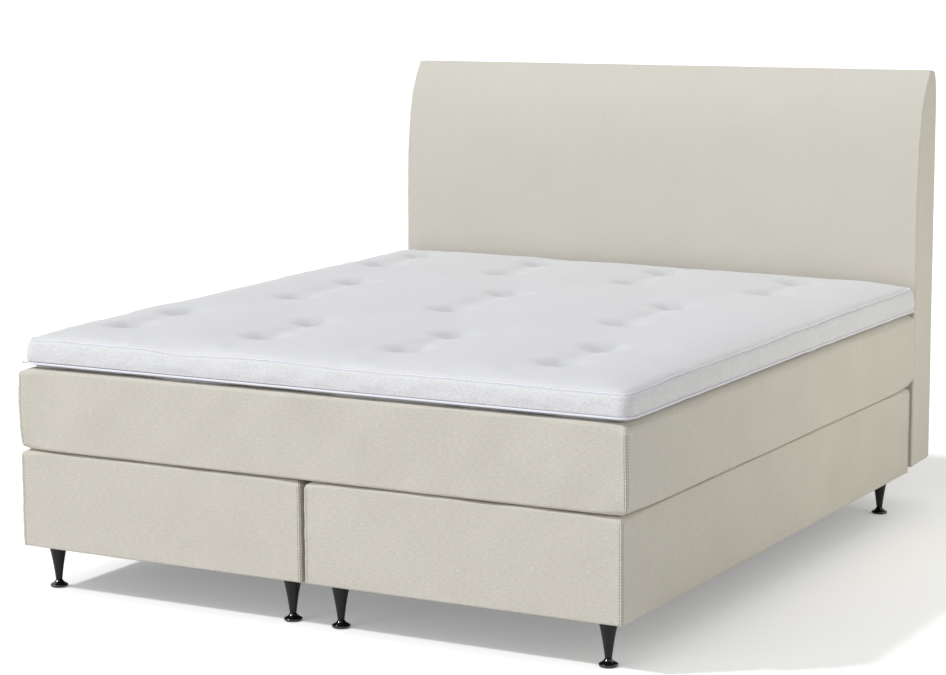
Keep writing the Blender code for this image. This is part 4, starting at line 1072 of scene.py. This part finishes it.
def filled_panel():
    """Fill the top panel as cloth, held at its edge and its tufts: how far each grid point moves."""
    columns, rows = round(size.x / PANEL_CELL), round(size.y / PANEL_CELL)
    bpy.ops.object.select_all(action="DESELECT")
    bpy.ops.mesh.primitive_grid_add(x_subdivisions=columns, y_subdivisions=rows, size=1)
    panel = bpy.context.object
    at = points_of(panel)
    flat = np.stack([(at[:, 0] + 0.5) * size.x, (at[:, 1] + 0.5) * size.y, at[:, 2] * 0], axis=1)
    columns, rows = len(np.unique(at[:, 0].round(5))), len(np.unique(at[:, 1].round(5)))
    rim = np.abs(at[:, :2]).max(axis=1) > 0.5 - 1e-5
    start = flat.copy()
    start[:, 2] = np.where(rim, 0, plain_rise(flat))
    tied = set(np.nonzero(rim)[0].tolist())
    for tuft in tufts:
        away = away_from(flat, tuft)
        tied.update(np.nonzero(away < PANEL_CELL * 0.75)[0].tolist() or [int(away.argmin())])
    move_points(panel, start)
    panel.vertex_groups.new(name="tied").add([int(i) for i in tied], 1, "REPLACE")
    panel.shape_key_add(name="filled")
    cut_flat = panel.shape_key_add(name="flat")
    cut_flat.data.foreach_set("co", flat.ravel())
    cloth = panel.modifiers.new("filling", "CLOTH")
    for name, value in PANEL_CLOTH.items():
        setattr(cloth.settings, name, value)
    cloth.settings.rest_shape_key = cut_flat
    cloth.settings.vertex_group_mass = "tied"
    cloth.settings.effector_weights.gravity = 0
    cloth.collision_settings.use_collision = False
    cloth.point_cache.frame_end = PANEL_FRAMES
    for frame_number in range(1, PANEL_FRAMES + 1):
        bpy.context.scene.frame_set(frame_number)
    settled = panel.evaluated_get(bpy.context.evaluated_depsgraph_get())
    start = np.empty(len(flat) * 3)
    settled.data.vertices.foreach_get("co", start)
    start = start.reshape(-1, 3)
    bpy.context.scene.frame_set(1)
    order = np.lexsort((at[:, 0].round(5), at[:, 1].round(5)))
    moved = (start - flat)[order].reshape(rows, columns, 3)
    bpy.data.objects.remove(panel)
    for axis in (0, 1):
        kept = np.take(moved, [0, -1], axis=axis)
        before, after = np.roll(moved, 1, axis=axis), np.roll(moved, -1, axis=axis)
        moved = (before + 2 * moved + after) / 4
        if axis == 0:
            moved[[0, -1]] = kept
        else:
            moved[:, [0, -1]] = kept
    moved[..., 2] = PANEL_CAP * np.tanh(moved[..., 2] / PANEL_CAP)
    return moved


def read_panel(moved, at):
    """The panel's movement at any points, read smoothly between its grid points."""
    rows, columns = moved.shape[:2]
    total = np.zeros((len(at), 3))
    parts = []
    for places, count, length in ((at[:, 1], rows, size.y), (at[:, 0], columns, size.x)):
        place = np.clip(places / length, 0, 1) * (count - 1)
        first = np.minimum(place.astype(int), count - 2)
        t = place - first
        weights = (
            -t / 2 + t ** 2 - t ** 3 / 2, 1 - 2.5 * t ** 2 + 1.5 * t ** 3,
            t / 2 + 2 * t ** 2 - 1.5 * t ** 3, (t ** 3 - t ** 2) / 2,
        )
        parts.append([(np.clip(first + i - 1, 0, count - 1), w) for i, w in enumerate(weights)])
    for row, row_weight in parts[0]:
        for column, column_weight in parts[1]:
            total += moved[row, column] * (row_weight * column_weight)[:, None]
    return total


def tuft_bowls(at):
    """How each tie draws the quilting into a round bowl with short folds, over the panel's cone."""
    rise = np.zeros(len(at))
    for number, tuft in enumerate(tufts):
        away = away_from(at, tuft)
        turn = np.arctan2(at[:, 1] - tuft[1], at[:, 0] - tuft[0])
        folds = np.cos(FOLDS * turn + number) + 0.7 * np.cos((FOLDS - 2) * turn + 2.3 * number)
        rise += CONE_FILLED * np.exp(-((away / CONE_WIDE) ** 2))
        rise -= BOWL_DEEP * np.exp(-((away / BOWL_WIDE) ** BOWL_STEEP))
        rise += FOLD_DEEP * folds * np.exp(-(((away - BOWL_WIDE * 0.75) / FOLD_WIDE) ** 2))
    for (x, y), (end_x, end_y) in tuft_pairs:
        way_x, way_y = end_x - x, end_y - y
        along = (at[:, 0] - x) * way_x + (at[:, 1] - y) * way_y
        share = np.clip(along / (way_x ** 2 + way_y ** 2), 0, 1)
        away = np.hypot(at[:, 0] - x - share * way_x, at[:, 1] - y - share * way_y)
        rise -= VALLEY_DEEP * 4 * share * (1 - share) * np.exp(-((away / VALLEY_WIDE) ** 2))
    return rise


def in_hollows(at):
    """How far each point lies in a tuft's bowl, from 0 to 1: its share of the bowls' painted shade."""
    return np.max([np.exp(-((away_from(at, tuft) / BOWL_WIDE) ** BOWL_STEEP)) for tuft in tufts], axis=0)


def topper_form(flat, moved):
    """The cover: a border that bulges over its tucked-in lower edge, under the filled top."""
    placed, facing = soft_form(flat, size, TOPPER_CORNER, TOPPER_EDGE, TOPPER_UNDER, TOPPER_SQUARE)
    share = np.clip(flat[:, 2] / size.z, 0, 1)
    edge_x, edge_y = from_sides(flat, size)
    from_edge = np.minimum(edge_x, edge_y)
    side = (from_edge < TINY) * 1.0
    at_foot = flat[:, 1] < TINY
    along = np.where(edge_x < TINY, flat[:, 1] / size.y, flat[:, 0] / size.x)
    draw = TOPPER_DRAW * 4 * along * (1 - along) * ~at_foot
    tuck = TOPPER_TUCK * (1 - share) ** TOPPER_TUCK_STEEP
    bulge = TOPPER_BULGE * np.sin(math.pi * share ** 0.85) ** 0.9
    crease = TOPPER_CREASE[0] * rumpled(placed * (1, 1, 0.35), TOPPER_CREASE[1], 65) * np.exp(-share * 3)
    by_zip = at_foot & (np.abs(flat[:, 0] - size.x / 2) < size.x / 2 - ZIP_ENDS + ZIP_CALM_PAST)
    from_zip = (np.abs(flat[:, 2] - zip_height) - ZIP_CALM[0]) / ZIP_CALM[1]
    calm = np.where(by_zip, np.clip(from_zip, 0, 1), 1)
    level = facing * (1, 1, 0)
    level /= np.maximum(np.linalg.norm(level, axis=1), 1e-9)[:, None]
    wavy = (uneven(placed, TOPPER_UNEVEN, 63) + crease) * np.sin(math.pi * np.clip(share * 1.1, 0, 1))
    out = side * (bulge - draw + wavy * calm)
    by_hem = (1 - np.clip(from_edge / TOPPER_HEM, 0, 1)) ** 2
    out -= tuck * np.where(flat[:, 2] < TOPPER_BORDER / 2, by_hem, 0)
    at = placed + level * out[:, None]
    wander = uneven(placed * (1, 1, 0), EDGE_UNEVEN, 61)
    at[:, 2] += wander * np.where(side > 0, share ** 2, np.exp(-from_edge / EDGE_UNEVEN_REACH))
    at[:, 2] += HEAD_RISE * (1 - HEAD_TILT * flat[:, 0] / size.x) * flat[:, 1] / size.y * share
    at[:, 2] += LEFT_RISE * (1 - flat[:, 0] / size.x) * share
    top = flat[:, 2] > size.z - TINY
    at[top] += read_panel(moved, flat[top])
    at[top, 2] += tuft_bowls(flat[top])
    return at


def open_zip(flat, at):
    """Fold the foot border in behind two lips, with the zip's room between and behind them."""
    ends = np.minimum(flat[:, 0], size.x - flat[:, 0])
    for row, (rise, deep) in zip(zip_rows, ZIP_ROWS):
        here = (flat[:, 1] < TINY) & (np.abs(flat[:, 2] - row) < ZIP_ROW / 4)
        opened = np.clip((ends - ZIP_ENDS + 0.0006) / 0.0012, 0, 1) * here
        at[:, 1] += opened * deep * (ZIP_BACK - at[:, 1])
        at[:, 2] += opened * (zip_height + rise - row)
    return at


ZIP_ROW = (ZIP_ROWS[-1][0] - ZIP_ROWS[0][0]) / (len(ZIP_ROWS) - 1)
zip_rows = [zip_height + (i - (len(ZIP_ROWS) - 1) / 2) * ZIP_ROW for i in range(len(ZIP_ROWS))]
border_cuts = [zip_rows[0] * i / 6 for i in range(6)] + zip_rows
border_cuts += [zip_rows[-1] + (TOPPER_BORDER - zip_rows[-1]) * i / 12 for i in range(1, 12)]
border_cuts += [TOPPER_BORDER - 0.003, TOPPER_BORDER - 0.0012, TOPPER_BORDER]


def crepe_knit():
    """Node group: crepe cells over a fine knit, plainer where the cloth lies flat; its colour carries
    painted shade: darker cell valleys where it stands, darker all over where it lies flat, darker in the
    tuft bowls.
    """
    tree, given = finish_group(
        "crepe_knit", ("White", "Color"), ("Shade", "Color"), ("Cell", "Float")
    )
    where = where_on(tree, "UV")
    slanted = node_at(
        tree, "Mapping", {"Vector": where, "Rotation": (0, 0, 0.62), "Scale": (1.0, 1.15, 1.0)}
    ).outputs["Vector"]
    crepe = node_at(
        tree, "TexVoronoi", {"Vector": slanted, "Scale": given["Cell"], "Smoothness": 0.6},
        feature="SMOOTH_F1",
    ).outputs["Distance"]
    loops = noise(tree, where, 1.0, 2.0, 0.5, (900.0, 1300.0, 1.0))
    swells = noise(tree, where, 30.0, 3.0, 0.55)
    normal = node_at(tree, "NewGeometry", {}).outputs["Normal"]
    up = node_at(tree, "SeparateXYZ", {"Vector": normal}).outputs["Z"]
    standing = ramped(tree, up, (0.55, 1.0), (0.90, 0.10))
    # Painted shade: the crepe cell valleys are painted darker where the cloth stands, and all of it is
    # painted darker where it lies flat.
    shade = node_at(tree, "Mix", {
        0: standing, 2: LYING_PAINTED_SHADE, 3: ramped(tree, crepe, (0.25, 0.0), (0.75, 0.9)),
    }, data_type="FLOAT").outputs[0]
    cloudy = ramped(tree, noise(tree, where, 4.0, 3.0, 0.5), (0.4, 0.0), (0.8, 0.35))
    painted_hollow_shade = node_at(tree, "Attribute", {}, attribute_name="painted_hollow_shade").outputs["Fac"]
    colour = mixed(tree, shade, given["White"], given["Shade"])
    colour = mixed(tree, cloudy, colour, given["Shade"])
    # Painted shade: the colour is drawn towards black in the tuft bowls.
    colour = mixed(tree, worked(tree, "MULTIPLY", painted_hollow_shade, HOLLOW_PAINTED_SHADE), colour, (0.0, 0.0, 0.0, 1))
    relief = worked(tree, "MULTIPLY_ADD", loops, 0.25, ranged(tree, crepe, 1.0, 0.0))
    relief = worked(tree, "MULTIPLY_ADD", swells, 0.5, relief)
    return close_group(tree, colour, loops, worked(tree, "MULTIPLY", relief, standing))


def knitted(name, white, shade, cell, deep):
    """White knitted cloth with this many crepe cells to the metre and a relief this deep."""
    tones = {"White": (*white, 1), "Shade": (*shade, 1), "Cell": cell}
    return finished(
        name, CREPE_KNIT, tones, (0.70, 0.92), deep, 0.5,
        Sheen_Weight=0.15, Sheen_Roughness=0.4, Specular_IOR_Level=0.3,
    )


CREPE_KNIT = crepe_knit()
# The second colour is the knit's darker tone: it carries painted shade as well as the knit's cloudy tone.
topper_knit = knitted("topper_knit", (0.782, 0.786, 0.800), (0.690, 0.695, 0.716), 200.0, 0.0014)
panel_moved = filled_panel()
cover = cut_block("knit_topper", [
    edge_cuts(size.x, TOPPER_CELL, TOPPER_CUTS), edge_cuts(size.y, TOPPER_CELL, TOPPER_CUTS), border_cuts,
])
keep_hem(cover, size, TOPPER_HEM)
cloth_map(cover)
flat = points_of(cover)
move_points(cover, open_zip(flat, topper_form(flat, panel_moved)) + np.array(low))
# Painted shade: each point's share of the bowls' darkening, stored as an attribute for the knit's colour.
bowl_shade_share = in_hollows(flat) * (flat[:, 2] > size.z - TINY)
cover.data.attributes.new("painted_hollow_shade", "FLOAT", "POINT").data.foreach_set("value", bowl_shade_share)
in_zip = (flat[:, 1] < TINY) & (np.abs(flat[:, 2] - zip_height) < ZIP_ROWS[-1][0] + ZIP_ROW / 4)
walls = cover.vertex_groups.new(name="wall")
for points, thickness in ((~in_zip, 1), (in_zip, ZIP_WALL)):
    walls.add([int(i) for i in np.nonzero(points)[0]], thickness, "REPLACE")
walled(cover, vertex_group="wall")
dressed(cover, "topper", "topper_knit", topper_knit, "topper_cover")

# Topper piping and tufts
# A thin cord in white binding runs round the top edge of the border, and a fuller one round its
# lower edge. Each tuft is tied with three short passes of white thread.
PIPING_STEP = 0.011
PIPES = (("upper", 0.0040, 0.0690, 0.0014, 0.0012), ("lower", 0.0062, 0.0130, 0.0034, 0.0))
TIE_LONG = 0.010
TIE_APART = 0.0016


def rim_path(height):
    """Flat places round the border at this height, one step apart."""
    corners = ((0, 0), (size.x, 0), (size.x, size.y), (0, size.y))
    places = []
    for start, end in zip(corners, corners[1:] + corners[:1]):
        length = math.dist(start, end)
        count = round(length / PIPING_STEP)
        places += [
            (start[0] + (end[0] - start[0]) * i / count, start[1] + (end[1] - start[1]) * i / count, height)
            for i in range(count)
        ]
    return np.array(places)


piping_white = knitted("piping_white", (0.88, 0.88, 0.95), (0.82, 0.82, 0.90), 900.0, 0.0002)
for name, thick, height, proud, lift in PIPES:
    at = topper_form(rim_path(height), panel_moved)
    ahead = np.roll(at, -1, axis=0) - np.roll(at, 1, axis=0)
    outward = np.stack([ahead[:, 1], -ahead[:, 0], ahead[:, 2] * 0], axis=1)
    at += outward / np.linalg.norm(outward, axis=1)[:, None] * proud + np.array((0, 0, lift))
    bpy.ops.object.select_all(action="DESELECT")
    bpy.ops.mesh.primitive_circle_add(vertices=len(at), radius=1)
    piping = bpy.context.object
    piping.name = "piping_" + name
    move_points(piping, at + np.array(low))
    bpy.ops.object.convert(target="CURVE")
    piping.data.bevel_depth = thick / 2
    piping.data.bevel_resolution = 2
    bpy.ops.object.convert(target="MESH")
    bpy.ops.object.shade_smooth()
    dressed(piping, "topper", "topper_knit", piping_white)

tie_places = []
for number, (x, y) in enumerate(tufts):
    turn = 0.5 + 1.9 * math.sin(number * 2.1)
    for offset in (-1, 0, 1):
        aside = Vector((-math.sin(turn), math.cos(turn))) * offset * TIE_APART
        along = Vector((math.cos(turn), math.sin(turn))) * TIE_LONG / 2
        for end in (-1, 1):
            tie_places.append((x + aside.x + end * along.x, y + aside.y + end * along.y, size.z))
tie_places = topper_form(np.array(tie_places), panel_moved) + np.array(low)
ties = sewn_row("tuft_ties", stitch_model, tie_places[::2], tie_places[1::2])
dressed(ties, "topper", "topper_knit", piping_white)

# Zip
# A nylon coil zip behind the lips of the foot border: a woven tape, a row of interlocked teeth,
# and a metal slider whose pull hangs out at the left corner.
TAPE_STEP = 0.02
TAPE_ROWS = 8
TOOTH_PITCH = 0.0020
TOOTH_HALF = 0.0019
SLIDER_LONG = 0.011
SLIDER_HIGH = 0.0088
SLIDER_CUTS = (0, 0.12, 0.5, 0.88, 1)
SLIDER_DEPTH_CUTS = (0, 0.0010, 0.0022, 0.0032)
SLIDER_HEIGHT_CUTS = (0, 0.14, 0.5, 0.86, 1)
SLIDER_TAPER = 0.32
BRIDGE_CUTS = (0, 0.0012, 0.0024, 0.0044, 0.0056, 0.0068)
BRIDGE_WALL = 0.0016
BRIDGE_THICK = 0.0007
PULL_LONG = 0.0285
PULL_HIGH = 0.0058
PULL_THICK = 0.0011
PULL_RIM = 0.0016
PULL_EYES = ((0.0018, 0.0050), (PULL_LONG - 0.0046, PULL_LONG - 0.0016))

tape_cloth, tree, shader = new_material("zip_tape_cloth", Roughness=0.85)
twill = node_at(
    tree, "TexWave", {"Vector": where_on(tree), "Scale": 260.0, "Distortion": 1.5},
    bands_direction="DIAGONAL",
).outputs["Fac"]
coloured(tree, shader, mixed(tree, twill, (0.66, 0.66, 0.68, 1), (0.76, 0.76, 0.78, 1)))
bumped(tree, shader, twill, 0.0001, 0.6)

teeth_nylon, tree, shader = new_material("zip_nylon", Roughness=0.4)
grain = noise(tree, where_on(tree), 1200.0, 3.0)
coloured(tree, shader, mixed(tree, grain, (0.60, 0.60, 0.62, 1), (0.72, 0.72, 0.74, 1)))

zip_metal, tree, shader = new_material("zip_metal", Metallic=1.0)
rub = noise(tree, where_on(tree), 700.0, 5.0, 0.7, (0.25, 1.0, 1.0))
metal_tone = mixed(tree, rub, (0.44, 0.44, 0.45, 1), (0.66, 0.66, 0.67, 1))
coloured(tree, shader, metal_tone, ranged(tree, rub, 0.22, 0.42))
bumped(tree, shader, rub, 0.00005, 0.5)

size_tape = tape_high - tape_low
tape = cut_block("zip_woven_tape", [
    edge_cuts(size_tape.x, TAPE_STEP, (0, 0.002)), [0, size_tape.y / 2],
    [size_tape.z * i / TAPE_ROWS for i in range(TAPE_ROWS + 1)],
])
move_points(tape, points_of(tape) + np.array((tape_low.x, tape_low.y + size_tape.y / 2, tape_low.z)))
bpy.ops.object.shade_smooth_by_angle(angle=math.radians(50))

bpy.ops.object.select_all(action="DESELECT")
bpy.ops.mesh.primitive_cube_add(size=1)
tooth = bpy.context.object
tooth.name = "zip_teeth"
tooth.data.transform(Matrix.Diagonal((TOOTH_PITCH * 0.40, size_tape.y * 0.45, TOOTH_HALF, 1)))
tooth.data.transform(Matrix.Translation((0, 0, TOOTH_HALF * 0.36)))
applied(tooth, "BEVEL", width=TOOTH_PITCH * 0.12, segments=1)
pair = copied(tooth, "tooth_pair", (TOOTH_PITCH / 2, 0, -TOOTH_HALF * 0.72))
pair.select_set(True)
bpy.ops.object.join()
repeated(tooth, int(size_tape.x / TOOTH_PITCH) - 1, (TOOTH_PITCH, 0, 0))
tooth.data.transform(Matrix.Translation((
    tape_low.x + TOOTH_PITCH, tape_low.y + size_tape.y * 0.28, low.z + zip_height,
)))
dressed(tooth, "topper", "zip_tape", teeth_nylon)
dressed(tape, "topper", "zip_tape", tape_cloth, "zip_tape")

slider_low, slider_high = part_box("zip_slider")
body_end = slider_high.x - SLIDER_LONG / 2
slider_z = (slider_low.z + slider_high.z) / 2
slider = cut_block("zip_runner", [
    [SLIDER_LONG * v for v in SLIDER_CUTS], SLIDER_DEPTH_CUTS,
    [SLIDER_HIGH * v for v in SLIDER_HEIGHT_CUTS],
])
at = points_of(slider)
narrow = 1 - SLIDER_TAPER * np.clip(at[:, 0] / SLIDER_LONG - 0.12, 0, 1)
at[:, 2] = SLIDER_HIGH / 2 + (at[:, 2] - SLIDER_HIGH / 2) * narrow
at[:, 0] -= SLIDER_LONG / 2
at += np.array((body_end, slider_high.y - SLIDER_DEPTH_CUTS[-1], slider_z - SLIDER_HIGH / 2))
move_points(slider, at)

front = topper_form(np.array([(size.x / 2, 0, zip_height)]), panel_moved)[0, 1] + low.y
bridge = cut_block("zip_bridge", [
    BRIDGE_CUTS, [0, BRIDGE_WALL / 2, BRIDGE_WALL], [0, BRIDGE_THICK / 2, BRIDGE_THICK],
])
at = points_of(bridge)
arch = 1 - (2 * at[:, 0] / BRIDGE_CUTS[-1] - 1) ** 4
reach = slider_high.y - 0.0030 - (front - 0.0024)
at[:, 1] = -at[:, 1] - arch * (reach - BRIDGE_WALL)
at += np.array((body_end - BRIDGE_CUTS[-1] / 2, slider_high.y - 0.0026, slider_z - BRIDGE_THICK / 2))
move_points(bridge, at)

pull = cut_block("zip_pull", [
    [0, *PULL_EYES[0], 0.0064, *PULL_EYES[1], PULL_LONG], [0, PULL_THICK],
    [0, PULL_RIM, PULL_HIGH - PULL_RIM, PULL_HIGH],
])


def in_eye(face):
    """Tells whether a face of the pull lies over one of its two holes."""
    middle = face.calc_center_median()
    within = any(first < middle.x < last for first, last in PULL_EYES)
    return within and PULL_RIM < middle.z < PULL_HIGH - PULL_RIM and abs(face.normal.y) > 0.9


select_where(pull, "FACE", in_eye)
bpy.ops.mesh.bridge_edge_loops()
bpy.ops.object.mode_set(mode="OBJECT")
at = points_of(pull)
taper = 0.62 + 0.38 * (1 - np.clip(at[:, 0] / PULL_LONG, 0, 1)) ** 0.5
at[:, 2] = PULL_HIGH / 2 + (at[:, 2] - PULL_HIGH / 2) * np.where(at[:, 0] > PULL_LONG * 0.7, taper, 1)
at += np.array((body_end - PULL_LONG + 0.0022, front - 0.0030, slider_z - PULL_HIGH / 2))
move_points(pull, at)
bpy.ops.object.select_all(action="DESELECT")
for part in (bridge, pull, slider):
    part.select_set(True)
    bpy.context.view_layer.objects.active = part
bpy.ops.object.join()
applied(slider, "BEVEL", width=0.00035, segments=2, limit_method="ANGLE")
bpy.ops.object.shade_smooth_by_angle(angle=math.radians(40))
dressed(slider, "zip_slider", "zip_metal", zip_metal, "zip_slider")

# Headboard cover and foam
# A full-width board in the same linen, upright below and laid back towards its top. The cover is
# pulled over a foam-clad panel, seamed at the front edges, and turned in by a hem at the back.
BOARD_EDGE = 0.006
BOARD_BACK_EDGE = 0.011
BOARD_BACK_FOOT = 0.020
BOARD_BACK_HEM = 0.030
BOARD_BACK_DROP = 0.120
BOARD_SET_BACK = 0.100
BOARD_SET_BACK_FADE = 0.120
BOARD_SET_IN = 0.026
BOARD_SET_IN_FADE = 0.031
BOARD_CROWN = 0.005
BOARD_FULL_FROM = 0.33
BOARD_SEWN = 0.0009
BOARD_GROOVE = (0.0105, 0.0012)
BOARD_ROLL = 0.004
BOARD_PUCKER = (0.02, 0.012)
BOARD_UNEVEN = ((0.0010, 0.33), (0.0003, 0.10))
BOARD_UNEVEN_FROM = 0.09
BOARD_STEPS = (0.028, 0.016, 0.022)
BOARD_CUTS = (0, 0.0012, 0.0026, 0.0042, 0.006, 0.008, 0.0105, 0.014, 0.019, 0.027, 0.040, 0.060)
BOARD_DEPTH_CUTS = (0, 0.0012, 0.0026, 0.0042, 0.006, 0.008, 0.0105, 0.014, 0.020, 0.030)


def board_form(flat, size, tall, inset, seed, crown=BOARD_CROWN, sewn=BOARD_SEWN):
    """The board's form: front set back and back set in towards the top, full in its middle."""
    back = flat[:, 1] / size[1]
    edge = BOARD_EDGE + (BOARD_BACK_EDGE - BOARD_EDGE) * back
    foot = BOARD_EDGE + (BOARD_BACK_FOOT - BOARD_EDGE) * back ** 2
    placed, facing = soft_form(flat, size, edge, edge, foot)
    share_x = flat[:, 0] / size[0]
    share_z = flat[:, 2] / size[2]
    full = 4 * share_x * (1 - share_x) * 4 * share_z * (1 - share_z) / BOARD_FULL_FROM
    depth = np.clip(placed[:, 1] / size[1], 0, 1)
    below = np.maximum(tall - inset - placed[:, 2], 0)
    front = BOARD_SET_BACK * np.exp(-below / BOARD_SET_BACK_FADE) + crown * (1 - np.clip(full, 0, 1))
    back = BOARD_SET_IN * np.exp(-below / BOARD_SET_IN_FADE)
    shift = front * (1 - depth) - back * depth
    on_front = flat[:, 1] < TINY
    edge = np.minimum(np.minimum(flat[:, 0], size[0] - flat[:, 0]), size[2] - flat[:, 2])
    away = np.where(on_front, edge, flat[:, 1])
    groove = -sewn * np.exp(-(((away - BOARD_GROOVE[0]) / BOARD_GROOVE[1]) ** 2)) * ~on_front
    rolled = 0.6 * sewn * np.exp(-(((away - BOARD_ROLL) / BOARD_ROLL) ** 2))
    drawn = sewn * 0.6 * rumpled(placed, BOARD_PUCKER[0], seed + 3) * np.exp(-away / BOARD_PUCKER[1])
    soft = uneven(placed, BOARD_UNEVEN, seed)
    soft *= 0.15 + 0.85 * np.clip(np.where(on_front, edge, 0) / BOARD_UNEVEN_FROM, 0, 1)
    out = (groove + rolled + drawn + soft) * (sewn > 0)
    at = placed + facing * out[:, None]
    at[:, 1] += shift
    return at


headboard_linen = linen(
    "headboard_linen", (0.672, 0.648, 0.582), (0.735, 0.712, 0.652), (0.520, 0.494, 0.428), 0.36
)
low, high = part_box("headboard_cover")
size = high - low
board_tall = size.z
cover = cut_block("linen_headboard", [
    edge_cuts(length, step, close)
    for length, step, close in zip(size, BOARD_STEPS, (BOARD_CUTS, BOARD_DEPTH_CUTS, BOARD_CUTS))
])


def behind(face):
    """Tells whether a face of the board lies within the hem of its back."""
    middle = face.calc_center_median()
    inside = BOARD_BACK_HEM < middle.x < size.x - BOARD_BACK_HEM
    inside = inside and BOARD_BACK_HEM < middle.z < size.z - BOARD_BACK_DROP
    return inside and middle.y > size.y - TINY


take_out(cover, behind)
cloth_map(cover, 3.0)
move_points(cover, board_form(points_of(cover), size, board_tall, 0, 71) + np.array(low))
walled(cover)
dressed(cover, "base", "headboard_linen", headboard_linen, "headboard_cover")

PAD_STEPS = (0.08, 0.05)
PAD_DEPTH_CUTS = (0, 0.02, 0.06, 0.3, 0.7, 0.94, 0.98, 1)
PAD_CLEAR = 0.0004
PAD_STEP_HIGH = 0.0012
foam_low, foam_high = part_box("headboard_foam")
panel_low, panel_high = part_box("headboard_panel")
frame_top = panel_high.z - foam_low.z
pad_back = panel_low.y - foam_low.y - PAD_CLEAR
size = foam_high - foam_low
heights = [h for h in edge_cuts(size.z, PAD_STEPS[1], EDGE_CUTS) if abs(h - frame_top) > 0.012]
heights = sorted([*heights, frame_top + PAD_CLEAR, frame_top + PAD_CLEAR + PAD_STEP_HIGH])
pad = cut_block("slab_headboard_foam", [
    edge_cuts(size.x, PAD_STEPS[0], EDGE_CUTS), [size.y * v for v in PAD_DEPTH_CUTS], heights,
])
flat = points_of(pad)
at = board_form(flat, size, board_tall, foam_low.z - low.z, 0, 0, 0)
thin = flat[:, 2] < frame_top + PAD_CLEAR + PAD_STEP_HIGH / 2
at[thin, 1] = np.minimum(at[thin, 1], pad_back * 0.75 + at[thin, 1] / size.y * pad_back * 0.25)
at[thin, 1] = np.minimum(at[thin, 1], pad_back)
move_points(pad, at + np.array(foam_low))
bpy.ops.object.shade_smooth_by_angle(angle=math.radians(50))
dressed(pad, "base", "foam", foam, "headboard_foam")

# Headboard panel
# A thin birch plywood sheet screwed to the posts and rails, under the foam.
plywood = timber("birch_plywood", (0.72, 0.58, 0.40), (0.60, 0.44, 0.27), 9.0, 2)
finish_nodes(plywood, "headboard_panel")
bpy.data.objects.remove(stitch_model)

# Floor, lamps and world
# A white studio sweep with soft light from above the left foot corner. The floor shows pure white
# to the camera and to reflections, and keeps the bed's shadow.
FLOOR_HALF = 30.0
FLOOR_WHITE = 0.68
FLOOR_SEEN = 1.0
FLOOR_LIFT = 0.255
KEY_WAY = Vector((-0.55, -0.39, 0.74))
KEY_STRENGTH = 1.75
KEY_SOFT = math.radians(5)
WORLD_LEVEL = 0.52
WARM = (1.0, 0.955, 0.77)
SOFTBOXES = (
    ("fill_front", (-3.0, -7.5, 2.0), (0.0, -1.0, 0.5), 90.0, 3.0, (1.0, 1.0, 1.0)),
    ("fill_back_right", (6.0, 4.5, 2.2), (0.9, 0.4, 0.4), 12.0, 3.0, WARM),
    ("fill_right", (2.9, 0.50, 0.14), (0.9, 0.45, 0.10), 10.0, 1.0, WARM),
    ("fill_floor", (2.2, 0.55, 1.0), (1.5, 0.60, 0.0), 1.8, 0.6, WARM),
)


def seen_by(tree, *kinds):
    """1 for rays of these kinds, 0 for all others."""
    rays = node_at(tree, "LightPath", {}).outputs
    seen = rays[kinds[0]]
    for kind in kinds[1:]:
        seen = worked(tree, "MAXIMUM", seen, rays[kind])
    return seen


def lamp(name, kind, way, **settings):
    """A lamp that shines from this direction."""
    made = bpy.data.objects.new(name, bpy.data.lights.new(name, kind))
    for key, value in settings.items():
        setattr(made.data, key, value)
    made.rotation_euler = way.to_track_quat("Z", "Y").to_euler()
    bpy.context.scene.collection.objects.link(made)
    return made


bpy.ops.object.select_all(action="DESELECT")
bpy.ops.mesh.primitive_plane_add(size=2 * FLOOR_HALF)
floor = bpy.context.object
floor.name = "studio_floor"
floor_paint, tree, shader = new_material("studio_white", Roughness=0.9, Specular_IOR_Level=0.1)
tones = [(*[FLOOR_WHITE * level] * 3, 1) for level in (1, 0.99)]
tone = mixed(tree, noise(tree, where_on(tree), 2.0, 2.0), *tones)
seen = seen_by(tree, "Is Camera Ray", "Is Glossy Ray")
coloured(tree, shader, mixed(tree, seen, tone, (FLOOR_SEEN, FLOOR_SEEN, FLOOR_SEEN, 1)))
tree.links.new(worked(tree, "MULTIPLY", seen, FLOOR_LIFT), shader.inputs["Emission Strength"])
shader.inputs["Emission Color"].default_value = (1, 1, 1, 1)
floor.data.materials.append(floor_paint)

lamp("key_light", "SUN", KEY_WAY, energy=KEY_STRENGTH, angle=KEY_SOFT)
for name, place, towards, watts, wide, colour in SOFTBOXES:
    softbox = lamp(
        name, "AREA", Vector(place) - Vector(towards), energy=watts, size=wide, color=colour
    )
    softbox.location = place

world = bpy.data.worlds.new("studio")
world.use_nodes = True
bpy.context.scene.world = world
sky = world.node_tree.nodes["Background"]
sky.inputs["Color"].default_value = (1, 1, 1, 1)
seen = seen_by(world.node_tree, "Is Camera Ray", "Is Glossy Ray", "Is Transmission Ray")
level = ranged(world.node_tree, seen, WORLD_LEVEL, 1.0)
world.node_tree.links.new(level, sky.inputs["Strength"])
bpy.context.scene.view_settings.view_transform = "Standard"
